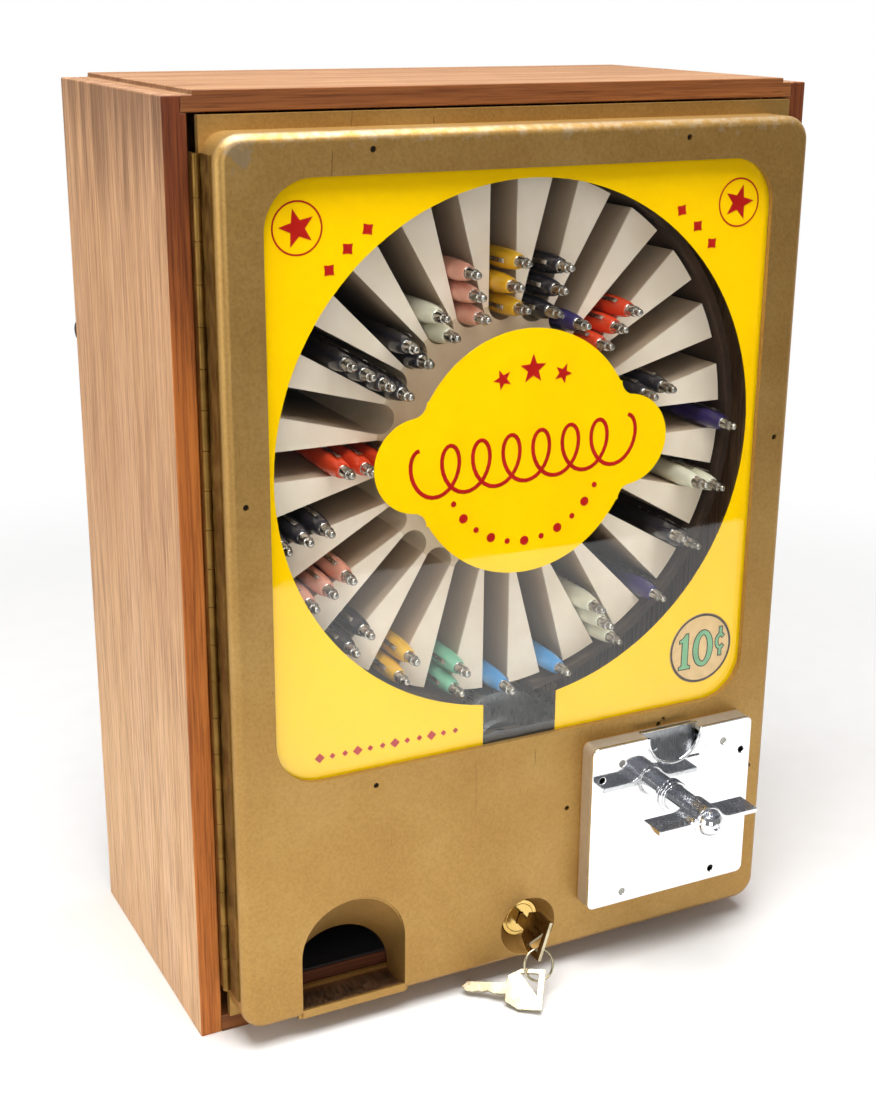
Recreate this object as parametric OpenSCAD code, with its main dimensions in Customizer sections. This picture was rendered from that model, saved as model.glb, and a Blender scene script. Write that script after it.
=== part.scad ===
// Countertop pen vending machine: a wooden case, a hinged metal door with a round window onto a
// slotted pen drum, a coin mechanism with a wing handle, a feed rotor, a chute, a lock and its keys.
// Millimetres. +Z is up, the front faces -Y, the origin is the middle of the footprint on the table.

/* [Case] */
// Depth of the side boards
case_d = 172; // [171:1:180]
// Thickness of the side boards
side_t = 12; // [11:0.5:13]
// Thickness of the top and bottom boards
board_t = 10; // [9:0.5:10.5]
// Thickness of the back board
back_t = 6; // [4:0.5:7]
// Height that the top board stands above the sides
top_rise = 2.3; // [1:0.1:3]

/* [Door] */
// Distance that the door stands in front of the case
door_front = 26.7; // [26:0.1:29]
// Thickness of the door casting
shell_t = 3; // [2.5:0.1:3.2]
// Rounding of the door's front edges
edge_r = 5; // [3:0.5:6]
// Rounding of the door's corners seen from the front
corner_r = 13; // [9:0.5:16]
// Height of the window's lower edge above the table
window_z0 = 152; // [150:0.5:154]
// Rounding of the window's corners
window_r = 25; // [15:1:30]
// Thickness of the clear pane
pane_t = 3; // [2.5:0.1:3.2]

/* [Drum] */
// Outside radius of the drum, which sets the width and height of the whole machine
drum_r = 142.5; // [140:0.25:150]
// Width of a pen slot
slot_w = 16; // [15:0.25:17]
// Distance from the centre to the inner end of a slot
slot_inner_r = 65; // [62:0.5:66]
// Depth of the drum's face behind the front of the case
drum_front = 8; // [6:0.5:10]

/* [Feed rotor] */
// Radius of the feed rotor under the drum
rotor_r = 34; // [33:0.25:35]
// Gap between the drum and the rotor
rotor_gap = 1.5; // [1:0.1:2]

/* [Coin mechanism] */
// Distance of the handle's axis to the right of the middle
coin_x = 92; // [90:0.5:93]
// Height of the square boss under the coin plate
boss_h = 10.3; // [9:0.1:12]
// Distance of the handle's wings from the coin plate
handle_reach = 29; // [24:0.5:34]
// Half span of the handle's wings
wing_half = 33; // [28:0.5:36]

/* [Lock and keys] */
// Radius of the round lock hole in the door
lock_hole_r = 17.6; // [17:0.1:18.5]
// Radius of the lock barrel
barrel_r = 11.2; // [10.5:0.1:11.5]

/* [Pens] */
// Radius of a pen barrel
pen_r = 5.5; // [4.5:0.1:5.6]
// Distance of the push buttons' tips in front of the case
pen_tip = 17; // [15:0.25:17.5]

/* [Hidden] */
// Window round the drum
clear_lip = 2;
clear_r = drum_r - clear_lip;
window_side = 4;
window_under = 20.5;
window_over = 5.5;
window_x = clear_r + window_side;
drum_z = window_z0 + window_under + clear_r;
window_z1 = drum_z + clear_r + window_over;
// Door round the window, case round the door
door_side = 22;
door_over = 20.3;
hinge_room = 3.5;
roof_gap = 8;
door_x = window_x + door_side;
door_z1 = window_z1 + door_over;
inner_x = door_x + hinge_room;
case_w = 2 * (inner_x + side_t);
roof_z = door_z1 + roof_gap;
top_z = roof_z + board_t;
case_h = top_z - top_rise;
front_y = -case_d / 2;
back_depth = case_d - back_t;
coin_z = window_z0 - 49;
fit_gap = 0.3;
run_gap = 0.05;
bite = 0.5;
// Rabbet that joins the top board to the sides
rabbet_out = 2.8;
rabbet_in = 2.8;
groove_w = 1;
groove_depths = [96, 136];
// Door casting
door_z0 = board_t + 3;
flange_gap = 1;
flange_t = 4;
skin = door_front - shell_t;
stud_r = 1.5;
stud_out = 12.5;
stud_up = 11.5;
stud_down = 9;
stud_col = 89;
studs = [[-stud_col, window_z1 + stud_up], [stud_col, window_z1 + stud_up],
         [-window_x - stud_out, drum_z - 8], [window_x + stud_out, drum_z - 8],
         [-stud_col, window_z0 - stud_down], [stud_col, window_z0 - stud_down]];
// Pane, printed panel and frame, one behind the other
print_t = 0.5;
frame_t = 1.5;
lap = 5.5;
pane_back = skin - pane_t;
print_back = pane_back - print_t;
frame_back = print_back - frame_t;
notch_half = 22.8;
medal_r = 65.4;
lobe_r = 25;
lobe_x = 62;
lobe_fillet = 8;
blend = 0.04;
price_at = [window_x - 25.7, window_z0 + 31];
price_r = 21;
// Delivery opening
out_x = -102.5;
out_r = 30.5;
out_spring = 48.5;
out_lip = 0.3;
out_z0 = door_z0 + shell_t;
hood_tilt = 50;
hood_t = 2;
hood_len = 26;
// Drum and its gear
slot_count = 24;
drum_len = 114;
drum_back = drum_front + drum_len;
disc_t = 3;
slot_back = drum_back - disc_t;
slot_pitch = 360 / slot_count;
fin_r = slot_inner_r + slot_w / 2;
fin_face = 3;
hub_face = 4;
pocket_in = 18;
wall_t = 2.5;
core_r = 24;
axle_r = 8;
axle_flange_r = 30;
axle_flange_t = 6;
mech_half = drum_r - 17.5;
plate_t = 2.5;
plate_depth = back_depth - plate_t;
drum_teeth = 96;
feed_teeth = 24;
rotor_z = drum_z - drum_r - rotor_gap - rotor_r;
feed_mod = 2 * (drum_z - rotor_z) / (drum_teeth + feed_teeth);
gear_t = 7;
drum_gear_r = drum_teeth * feed_mod / 2;
gear1_front = drum_back;
gear2_front = drum_back + gear_t + 4;
// Feed rotor
pockets = 6;
pocket_w = 12.5;
pocket_d = 12;
rotor_front = 2;
rotor_back = slot_back;
shaft_r = 6;
cap_r = 17;
hub_r = 7;
// Drive from the handle to the rotor
pinion_teeth = 16;
wheel_teeth = 48;
drive_dx = coin_x;
drive_dz = coin_z - rotor_z;
drive_mod = 2 * norm([drive_dx, drive_dz]) / (pinion_teeth + wheel_teeth);
drive_angle = atan2(drive_dz, drive_dx);
wheel_gear_r = wheel_teeth * drive_mod / 2;
backlash = 0.3;
bearing_r = 15;
dog_front = 4;
dog_len = 12;
dog_r = 11;
tongue_w = 4;
tongue_len = 5;
tongue_half = 7;
// Shroud round the drum
shroud_gap = 2.5;
shroud_t = 4.5;
shroud_r = drum_r + shroud_gap;
shroud_front = 4;
shroud_back = drum_back - 1;
shroud_cut = 9;
post_r = 4;
post_at = shroud_r + shroud_t + 6;
lug_half = 7;
// Chute
sheet = 1.5;
tray_z = 22;
sill_t = 9;
guard_r = rotor_r + 2.2;
tray_x0 = out_x - out_r - 3;
tray_x1 = out_x + out_r + 1;
chute_front = 3;
chute_back = 117;
guard_from = 35;
guard_to = 105;
// Coin box
till_front = 12;
till_back = 108;
till_h = 30;
// Coin mechanism
plate_half = 54;
plate_up = 39;
plate_down = 62;
coin_plate_t = 2;
boss_front = door_front + boss_h;
plate_front = boss_front + coin_plate_t;
boss_wall = 3;
notch_r = 18;
plate_holes = [[-34.5, 27], [34.5, 27], [-47.5, 19], [47.5, 19], [-31, -55], [31, -55]];
screwed = [0, 1, 4];
hole_r = 2;
boss_holes = [[-62.5, 0], [63.5, 0], [0, 42.5]];
house_half = 45;
house_up = 33;
house_down = 52;
house_t = 2;
house_back = 10;
wheel_r = 31;
wheel_t = 3;
wheel_front = boss_front - 1.5;
coin_r = 9.2;
spindle_r = 5;
wing_t = 3.2;
wing_depth = 16;
hub_out = 9;
collar_r = 9.5;
collar_t = 3;
handle_r = 7.5;
pit_r = 1.8;
pit_depth = 1.4;
// Lock
lock_at = [6, 33.5];
lock_recess = 9.7;
barrel_front = door_front - lock_recess;
barrel_back = 8;
plug_back = barrel_back + 1;
plug_r = barrel_r - 2.5;
nut_r = barrel_r + 3;
nut_t = 4;
bracket_t = 2.5;
bracket_half = 28;
bracket_up = 22;
cam_len = 20.4;
cam_t = 2.5;
cam_half = 5;
strike_h = 8;
strike_half = 14;
strike_front = 4;
strike_len = 24;
strike_t = 2;
// Keys
key_t = 2;
key_tilt = 17.5;
key_neck = 8;
key_play = 0.3;
bow_neck = 7.5;
bow_half = 12;
bow_flare = 8;
bow_len = 21.5;
bow_rim = 3.5;
bow_hole = 10.5;
blade_half = 3.4;
blade_len = 26;
keyway_len = blade_len - key_neck + 2;
cut_step = 3.2;
cut_depths = [2.2, 1.2, 2.6, 1.8, 3.2];
ring_r = 9;
wire_r = 0.7;
ring_at = [-2.7, -17.7, -15];
ring_turn = [67.8, 0, -1.5];
spare_at = [-22.45, -16.15, 7.65];
spare_turn = [36.1, -7.3, -41.4];
// Hinge along the left edge
hinge_x = -inner_x + 1.1;
hinge_depth = 6.5;
knuckle_r = 2;
leaf_t = 1;
knuckle_len = 20;
knuckle_count = 22;
hinge_z0 = 30;
// Pens: slot counted clockwise from the top, colour, number of pens, resting at the hub 1 or rim -1
pen_rows = [[1, 0, 3, 1], [2, 1, 3, 1], [3, 2, 1, 1], [4, 3, 3, 1], [6, 1, 3, 1], [7, 2, 1, -1],
            [8, 4, 2, -1], [9, 1, 2, -1], [10, 2, 1, -1], [11, 4, 3, -1], [12, 5, 1, -1],
            [13, 5, 1, -1], [14, 6, 2, -1], [15, 0, 2, -1], [16, 1, 2, -1], [17, 7, 3, -1],
            [18, 1, 3, -1], [19, 3, 3, 1], [21, 1, 4, 1], [22, 1, 2, 1], [23, 4, 2, 1], [24, 7, 3, 1]];
pen_step = 12;
pen_gap = 0.4;
pen_side = slot_w / 2 - pen_r - pen_gap;
pen_back = slot_back - 1.5;
button_len = 11;
button_r = 2.9;
shoulder = 3;
nib_len = 16;

// Extrudes a profile drawn in X and Z between two depths behind the front of the case.
module slab(from, to) {
    translate([0, front_y + to, 0]) rotate([90, 0, 0]) linear_extrude(height = to - from) children();
}

// A rod along Y between two depths, at a place in X and Z.
module rod(at, r, from, to) {
    slab(from, to) translate(at) circle(r);
}

// A box between two corners given as X, depth and Z.
module block(a, b) {
    translate([a[0], front_y + a[1], a[2]]) cube([b[0] - a[0], b[1] - a[1], b[2] - a[2]]);
}

module round_rect(x0, z0, x1, z1, r) {
    translate([x0 + r, z0]) square([x1 - x0 - 2 * r, z1 - z0]);
    translate([x0, z0 + r]) square([x1 - x0, z1 - z0 - 2 * r]);
    for (x = [x0 + r, x1 - r], z = [z0 + r, z1 - r]) {
        translate([x, z]) circle(r);
    }
}

// A block with rounded corners whose front edge is rolled over with radius e.
module pan(x0, z0, x1, z1, c, e, from, to) {
    slab(from + e, to) round_rect(x0, z0, x1, z1, c);
    slab(from, from + e) round_rect(x0 + e, z0 + e, x1 - e, z1 - e, c - e);
    for (z = [z0 + e, z1 - e]) {
        translate([x0 + c, front_y + from + e, z]) rotate([0, 90, 0]) cylinder(r = e, h = x1 - x0 - 2 * c);
    }
    for (x = [x0 + e, x1 - e]) {
        translate([x, front_y + from + e, z0 + c]) cylinder(r = e, h = z1 - z0 - 2 * c);
    }
    for (x = [x0 + c, x1 - c], z = [z0 + c, z1 - c]) {
        translate([x, front_y + from + e, z]) rotate([90, 0, 0]) rotate_extrude() translate([c - e, 0]) circle(e);
    }
}

module ring2d(r_out, r_in) {
    difference() {
        circle(r_out);
        circle(r_in);
    }
}

// Involute gear outline: one tooth points along +X.
function inv(a) = tan(a) * 180 / PI - a;
function flank(r, rb, half) = half + inv(20) - inv(acos(min(1, rb / r)));
module gear2d(teeth, m) {
    rp = m * teeth / 2;
    rb = rp * cos(20);
    rt = rp + 0.8 * m;
    rr = rp - 1.05 * m;
    half = 90 / teeth - backlash / rp * 45 / PI;
    radii = [for (i = [0:3]) max(rb, rr) + (rt - max(rb, rr)) * i / 3];
    points = [for (k = [0:teeth - 1]) let (c = k * 360 / teeth) each concat(
        [rr * [cos(c - flank(radii[0], rb, half)), sin(c - flank(radii[0], rb, half))]],
        [for (r = radii) r * [cos(c - flank(r, rb, half)), sin(c - flank(r, rb, half))]],
        [for (i = [3:-1:0]) radii[i] * [cos(c + flank(radii[i], rb, half)), sin(c + flank(radii[i], rb, half))]],
        [rr * [cos(c + flank(radii[0], rb, half)), sin(c + flank(radii[0], rb, half))]])];
    polygon(points);
}

// Wooden case

module side_board() {
    difference() {
        block([inner_x, 0, 0], [case_w / 2, case_d, case_h]);
        block([inner_x - bite, -bite, roof_z], [inner_x + rabbet_out, case_d + bite, case_h + bite]);
    }
}

module left_side() {
    color("#B98A63") mirror([1, 0, 0]) side_board();
}

module right_side() {
    color("#B98A63") side_board();
}

module top_panel() {
    color("#A06A42") difference() {
        union() {
            block([-inner_x + rabbet_in, 0, roof_z], [inner_x - rabbet_in, case_d, top_z]);
            block([-inner_x - rabbet_out, 0, roof_z], [inner_x + rabbet_out, case_d, case_h]);
        }
        for (y = groove_depths) {
            block([-case_w / 2, y, top_z - groove_w], [case_w / 2, y + groove_w, top_z + bite]);
        }
    }
}

module bottom_panel() {
    color("#8A5A3A") block([-inner_x, 0, 0], [inner_x, case_d, board_t]);
}

module back_panel() {
    color("#7A5238") block([-inner_x, back_depth, board_t], [inner_x, case_d, roof_z]);
}

module screw_eyes() {
    eye_r = 4;
    wire = 1.1;
    neck = 14;
    color("#3A3632") for (s = [-1, 1]) {
        translate([s * (case_w / 2 - side_t / 2), front_y + case_d, case_h - 141]) {
            rotate([-90, 0, 0]) cylinder(r = wire, h = neck);
            translate([0, neck + eye_r, 0]) rotate([0, 90, 0]) rotate_extrude() translate([eye_r, 0]) circle(wire);
        }
    }
}

// Door

module hood_profile(r) {
    translate([out_x, out_spring]) circle(r);
    translate([out_x - r, out_z0 - hood_len * 2]) square([2 * r, out_spring - out_z0 + hood_len * 2]);
}

// The hood leans inward and down behind the delivery opening.
module hood(r) {
    translate([0, front_y - door_front, out_spring]) rotate([90 - hood_tilt, 0, 0]) translate([0, -out_spring, -hood_len])
        linear_extrude(height = hood_len + shell_t) hood_profile(r);
}

module door() {
    bx0 = coin_x - plate_half;
    bx1 = coin_x + plate_half;
    bz0 = coin_z - plate_down;
    bz1 = coin_z + plate_up;
    color("#A8843F") difference() {
        union() {
            difference() {
                union() {
                    pan(-door_x, door_z0, door_x, door_z1, corner_r, edge_r, -door_front, 0);
                    block([-door_x, -flange_t, board_t + flange_gap], [inner_x - flange_gap, 0, roof_z - flange_gap]);
                    slab(-boss_front, -skin) round_rect(bx0, bz0, bx1, bz1, 4);
                }
                slab(-skin, bite) round_rect(-door_x + shell_t, door_z0 + shell_t, door_x - shell_t,
                    door_z1 - shell_t, corner_r - shell_t);
            }
            intersection() {
                difference() {
                    hood(out_r + hood_t);
                    hood(out_r);
                }
                block([out_x - 2 * out_r, -door_front + shell_t / 2, out_z0],
                    [out_x + 2 * out_r, -2, out_spring + 2 * out_r]);
            }
        }
        slab(-door_front - bite, bite) round_rect(-window_x, window_z0, window_x, window_z1, window_r);
        slab(-door_front - bite, -skin + bite) {
            translate([out_x, out_spring]) circle(out_r - out_lip);
            translate([out_x - out_r + out_lip, out_z0]) square([2 * (out_r - out_lip), out_spring - out_z0]);
        }
        slab(-boss_front - bite, -skin + bite) round_rect(bx0 + boss_wall, bz0 + boss_wall, bx1 - boss_wall,
            bz1 - boss_wall, 2);
        block([coin_x - notch_r, -boss_front - bite, bz1 - boss_wall - 1], [coin_x + notch_r, -door_front - 2, bz1 + bite]);
        rod(lock_at, lock_hole_r, -door_front - bite, -skin + bite);
        for (p = studs) {
            rod(p, stud_r + run_gap, -door_front - bite, -skin + bite);
        }
        for (p = boss_holes) {
            rod([coin_x + p[0], coin_z + p[1]], stud_r, -door_front - bite, -skin + bite);
        }
    }
}

module window_pane() {
    color("#DDE6E6", 0.35) slab(-skin, -pane_back)
        round_rect(-window_x - lap, window_z0 - lap, window_x + lap, window_z1 + lap, window_r);
}

module medal2d() {
    ra = medal_r + lobe_fillet - blend;
    rb = lobe_r + lobe_fillet - blend;
    fx = (lobe_x * lobe_x + ra * ra - rb * rb) / (2 * lobe_x);
    fz = sqrt(ra * ra - fx * fx);
    difference() {
        union() {
            circle(medal_r);
            translate([-fx, -fz]) square([2 * fx, 2 * fz]);
            for (s = [-1, 1]) {
                translate([s * lobe_x, 0]) circle(lobe_r);
            }
        }
        for (s = [-1, 1], t = [-1, 1]) {
            translate([s * fx, t * fz]) circle(lobe_fillet);
        }
    }
}

module printed_panel() {
    color("#FFDD05") slab(-pane_back, -print_back) difference() {
        round_rect(-window_x - lap, window_z0 - lap, window_x + lap, window_z1 + lap, window_r);
        translate([0, drum_z]) circle(clear_r);
        translate([-notch_half, window_z0 - 2 * lap]) square([2 * notch_half, drum_z - window_z0]);
        translate(price_at) circle(price_r + fit_gap);
    }
}

module medallion() {
    color("#FFDD05") slab(-pane_back, -print_back) translate([0, drum_z]) medal2d();
}

module price_disc() {
    color("#DDB87A") rod(price_at, price_r, -pane_back, -print_back);
}

module pane_frame() {
    color("#2A2826") slab(-print_back, -frame_back) difference() {
        round_rect(-door_x + shell_t + 1, window_z0 - 13, door_x - shell_t - 1, door_z1 - shell_t - 1, 9);
        round_rect(-clear_r - 1.5, window_z0 + 4, clear_r + 1.5, drum_z + clear_r + 1.5, window_r);
        for (p = studs) {
            translate(p) circle(stud_r + run_gap);
        }
    }
}

module frame_studs() {
    color("#4A4640") for (p = studs) {
        rod(p, stud_r, -door_front + 1.5, -frame_back);
        rod(p, 3, -frame_back, -frame_back + 3);
    }
}

module hinge_knuckles(first) {
    for (i = [first:2:knuckle_count - 1]) {
        translate([hinge_x, front_y - hinge_depth, hinge_z0 + i * knuckle_len + fit_gap / 2])
            cylinder(r = knuckle_r, h = knuckle_len - fit_gap);
    }
}

module hinge_door() {
    color("#8E7440") difference() {
        union() {
            block([-door_x - leaf_t, -door_front + edge_r + 1, hinge_z0],
                [-door_x, -hinge_depth - knuckle_r - fit_gap, hinge_z0 + knuckle_count * knuckle_len]);
            hinge_knuckles(0);
            for (i = [0:2:knuckle_count - 1]) {
                block([-door_x - leaf_t, -hinge_depth - knuckle_r - 2 * fit_gap, hinge_z0 + i * knuckle_len + fit_gap / 2],
                    [-door_x - fit_gap, -hinge_depth, hinge_z0 + (i + 1) * knuckle_len - fit_gap / 2]);
            }
        }
        translate([hinge_x, front_y - hinge_depth, 0]) cylinder(r = knuckle_r / 2 + run_gap, h = case_h);
    }
}

module hinge_case() {
    color("#7E6A40") {
        block([-inner_x, -hinge_depth + knuckle_r + fit_gap, hinge_z0],
            [-inner_x + leaf_t, 24, hinge_z0 + knuckle_count * knuckle_len]);
        hinge_knuckles(1);
        for (i = [1:2:knuckle_count - 1]) {
            block([-inner_x, -hinge_depth, hinge_z0 + i * knuckle_len + fit_gap / 2],
                [-inner_x + leaf_t, -hinge_depth + knuckle_r + 2 * fit_gap, hinge_z0 + (i + 1) * knuckle_len - fit_gap / 2]);
        }
        translate([hinge_x, front_y - hinge_depth, hinge_z0])
            cylinder(r = knuckle_r / 2, h = knuckle_count * knuckle_len);
    }
}

// Coin mechanism

module coin_plate() {
    color("#D8DBDD") slab(-plate_front, -boss_front) difference() {
        round_rect(coin_x - plate_half, coin_z - plate_down, coin_x + plate_half, coin_z + plate_up, 4);
        translate([coin_x, coin_z + plate_up]) circle(notch_r);
        for (p = plate_holes) {
            translate([coin_x + p[0], coin_z + p[1]]) circle(hole_r);
        }
        translate([coin_x, coin_z]) circle(spindle_r + run_gap);
    }
}

module plate_screws() {
    color("#9A9C9E") for (i = screwed) {
        p = plate_holes[i];
        rod([coin_x + p[0], coin_z + p[1]], hole_r - run_gap, -plate_front + 0.3, -boss_front);
    }
}

module coin_housing() {
    x0 = coin_x - house_half;
    x1 = coin_x + house_half;
    z0 = coin_z - house_down;
    z1 = coin_z + house_up;
    color("#6E7072") difference() {
        block([x0, -boss_front, z0], [x1, -house_back, z1]);
        block([x0 + house_t, -boss_front - bite, z0 + house_t], [x1 - house_t, -house_back - house_t, z1 - house_t]);
        block([coin_x - notch_r, -boss_front - bite, z1 - house_t - bite], [coin_x + notch_r, -door_front - 2, z1 + bite]);
        block([coin_x - 14, -boss_front + 1, z0 - bite], [coin_x + 14, -door_front, z0 + house_t + bite]);
        rod([coin_x, coin_z], spindle_r + run_gap, -house_back - 2 * house_t, bite);
    }
}

module coin_chute() {
    z0 = coin_z - house_down;
    half = 13;
    color("#7A7C7E") translate([coin_x - half, 0, 0]) rotate([90, 0, 90]) linear_extrude(height = 2 * half)
        polygon([[front_y - boss_front + 6, z0], [front_y - boss_front + 6, z0 - 4], [front_y + 18, z0 - 4.2 - sheet],
                 [front_y + 18, z0 - 4.2], [front_y - door_front + 6, z0 - 3], [front_y - door_front + 6, z0]]);
}

module coin_wheel() {
    color("#55585A") slab(-wheel_front, -wheel_front + wheel_t) difference() {
        translate([coin_x, coin_z]) circle(wheel_r);
        translate([coin_x, coin_z]) circle(spindle_r + run_gap);
        translate([coin_x, coin_z + wheel_r]) circle(coin_r);
    }
}

module wing2d() {
    cz = wing_t / 2 + hub_out;
    cx = sqrt(4 * hub_out * hub_out - cz * cz);
    circle(hub_out);
    translate([-wing_half, -wing_t / 2]) square([2 * wing_half, wing_t]);
    for (s = [-1, 1]) {
        difference() {
            polygon([[0, 0], [s * cx, cz], [s * cx, 0]]);
            translate([s * cx, cz]) circle(hub_out);
        }
    }
}

module coin_handle() {
    wing_back = plate_front + handle_reach - wing_depth / 2;
    wing_front = wing_back + wing_depth;
    color("#D8DBDD") difference() {
        union() {
            rod([coin_x, coin_z], collar_r, -plate_front - collar_t, -plate_front - fit_gap);
            rod([coin_x, coin_z], handle_r, -wing_back, -plate_front - collar_t);
            slab(-wing_front, -wing_back) translate([coin_x, coin_z]) wing2d();
            translate([coin_x, front_y - wing_front, coin_z]) intersection() {
                sphere(handle_r);
                rotate([90, 0, 0]) cylinder(r = handle_r, h = 2 * handle_r);
            }
        }
        rod([coin_x, coin_z], pit_r, -wing_front - 2 * handle_r, -wing_front - handle_r + pit_depth);
    }
}

module spindle() {
    color("#8C8E90") {
        rod([coin_x, coin_z], spindle_r, -plate_front - fit_gap, dog_front - fit_gap);
        block([coin_x - tongue_w / 2, dog_front - fit_gap, coin_z - tongue_half],
            [coin_x + tongue_w / 2, dog_front + tongue_len, coin_z + tongue_half]);
    }
}

// Lock and keys

module lock_bracket() {
    color("#5E5A52") slab(0, bracket_t) difference() {
        translate([lock_at[0] - bracket_half, board_t + flange_gap + 1])
            square([2 * bracket_half, lock_at[1] + bracket_up - board_t]);
        translate(lock_at) circle(barrel_r + run_gap);
    }
}

module lock_barrel() {
    color("#C9A24A") difference() {
        union() {
            rod(lock_at, barrel_r, -barrel_front, barrel_back);
            rod(lock_at, nut_r, bracket_t, bracket_t + nut_t);
            rod(lock_at, nut_r, -nut_t, 0);
        }
        rod(lock_at, plug_r + run_gap, -barrel_front - bite, barrel_back + bite);
    }
}

module lock_plug() {
    slot_x = key_t / 2 + key_play;
    slot_z = blade_half + key_play;
    color("#D7B560") difference() {
        rod(lock_at, plug_r, -barrel_front, plug_back);
        translate([lock_at[0], 0, lock_at[1]]) rotate([0, key_tilt, 0])
            block([-slot_x, -barrel_front - bite, -slot_z], [slot_x, -barrel_front + keyway_len, slot_z]);
    }
}

module lock_cam() {
    color("#8C8E90") slab(plug_back, plug_back + cam_t) {
        translate(lock_at) circle(cam_half);
        translate([lock_at[0] - cam_len, lock_at[1] - cam_half]) square([cam_len, 2 * cam_half]);
    }
}

module strike_plate() {
    x0 = lock_at[0] - strike_half;
    x1 = lock_at[0] + strike_half;
    color("#5E5A52") {
        block([x0, strike_front, board_t], [x1, strike_front + strike_t, board_t + strike_h]);
        block([x0, strike_front + strike_t, board_t], [x1, strike_front + strike_len, board_t + strike_t]);
    }
}

// A key lying flat: the bow runs from the origin along +X, the blade along -X.
module key_blank() {
    hole_x = bow_len - bow_rim;
    hole_y = bow_half - 2.8;
    cuts = [for (i = [0:len(cut_depths) - 1]) [-blade_len + 3 + i * cut_step, -blade_half + cut_depths[i] / 2]];
    translate([0, 0, -key_t / 2]) linear_extrude(height = key_t) difference() {
        union() {
            polygon([[0, -bow_neck], [bow_flare, -bow_half], [bow_len, -bow_half], [bow_len, bow_half],
                     [bow_flare, bow_half], [0, bow_neck]]);
            polygon(concat([[bite, -blade_half], [bite, blade_half], [-blade_len + 3, blade_half], [-blade_len, 0]],
                cuts, [[-key_neck + 1, -blade_half]]));
        }
        polygon([[hole_x, hole_y], [hole_x, hole_y - bow_hole - 2.2], [hole_x - bow_hole, hole_y]]);
    }
}

module key() {
    color("#B9A98A") translate([lock_at[0], front_y - barrel_front - key_neck, lock_at[1]])
        rotate([0, key_tilt, 0]) rotate([-90, 0, -90]) key_blank();
}

module key_ring() {
    color("#B8B4AC") translate([lock_at[0] + ring_at[0], front_y - door_front + ring_at[1], lock_at[1] + ring_at[2]])
        rotate(ring_turn) rotate_extrude() translate([ring_r, 0]) circle(wire_r);
}

module spare_key() {
    color("#C9BE9C") translate([lock_at[0] + spare_at[0], front_y - door_front + spare_at[1], spare_at[2]])
        rotate(spare_turn) key_blank();
}

// Drum, gears and feed

// Hub outline with one flat for each fin, and the slots between the fins.
module hub2d() {
    polygon([for (k = [0:slot_count - 1]) fin_r / cos(slot_pitch / 2) * [sin(k * slot_pitch), cos(k * slot_pitch)]]);
}

module slots2d() {
    for (k = [0:slot_count - 1]) {
        rotate(k * slot_pitch) {
            translate([-slot_w / 2, fin_r]) square([slot_w, drum_r]);
            translate([0, fin_r]) circle(slot_w / 2);
        }
    }
}

module drum() {
    color("#EFEAE2") difference() {
        slab(drum_front, slot_back) translate([0, drum_z]) difference() {
            hub2d();
            slots2d();
            circle(axle_r + run_gap);
        }
        slab(drum_front + hub_face, slot_back + bite) translate([0, drum_z]) ring2d(slot_inner_r - wall_t, core_r);
    }
}

module drum_fins() {
    in_r = fin_r + pocket_in;
    out_r = drum_r - wall_t;
    in_w = in_r * tan(slot_pitch / 2) - (slot_w / 2 + wall_t) / cos(slot_pitch / 2);
    out_w = out_r * tan(slot_pitch / 2) - (slot_w / 2 + wall_t) / cos(slot_pitch / 2);
    color("#EFEAE2") difference() {
        slab(drum_front, slot_back) translate([0, drum_z]) difference() {
            circle(drum_r);
            hub2d();
            slots2d();
        }
        slab(drum_front + fin_face, slot_back + bite) for (k = [0:slot_count - 1]) {
            translate([0, drum_z]) rotate((k + 0.5) * slot_pitch)
                polygon([[-in_w, in_r], [in_w, in_r], [out_w, out_r - 1], [-out_w, out_r - 1]]);
        }
    }
}

module drum_disc() {
    color("#EFEAE2") slab(slot_back, drum_back) translate([0, drum_z]) ring2d(drum_r, axle_r + run_gap);
}

module drum_gear() {
    color("#B08A4A") slab(gear1_front, gear1_front + gear_t) translate([0, drum_z]) difference() {
        gear2d(drum_teeth, feed_mod);
        circle(axle_r + run_gap);
        for (k = [0:5]) {
            rotate(k * 60 + 30) translate([0, drum_gear_r * 0.55]) circle(drum_gear_r * 0.18);
        }
    }
}

module axle() {
    color("#8C8E90") {
        rod([0, drum_z], axle_r, drum_front - 7, plate_depth);
        rod([0, drum_z], axle_flange_r, plate_depth - axle_flange_t, plate_depth);
        rod([0, drum_z], axle_r + 7, drum_front - 6, drum_front - fit_gap);
    }
}

module mech_plate() {
    color("#6A6C6E") slab(plate_depth, back_depth) translate([-mech_half, rotor_z - 70])
        square([2 * mech_half, drum_z + mech_half - rotor_z + 72]);
}

module rotor() {
    color("#8A8886") difference() {
        rod([0, rotor_z], rotor_r, rotor_front, rotor_back);
        slab(rotor_front + 4, rotor_back + bite) for (k = [0:pockets - 1]) {
            translate([0, rotor_z]) rotate(k * 360 / pockets) {
                translate([-pocket_w / 2, rotor_r - pocket_d + pocket_w / 2]) square([pocket_w, rotor_r]);
                translate([0, rotor_r - pocket_d + pocket_w / 2]) circle(pocket_w / 2);
            }
        }
        rod([0, rotor_z], shaft_r + run_gap, rotor_front - bite, rotor_back + bite);
    }
}

module rotor_cap() {
    color("#C8CACC") {
        slab(rotor_front - 3, rotor_front) translate([0, rotor_z]) ring2d(cap_r, cap_r - 4);
        slab(rotor_front - 1, rotor_front) translate([0, rotor_z]) ring2d(cap_r - 3.5, shaft_r + run_gap);
        slab(rotor_front - 5, rotor_front - 1) translate([0, rotor_z]) ring2d(hub_r + 3, shaft_r + run_gap);
    }
}

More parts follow.
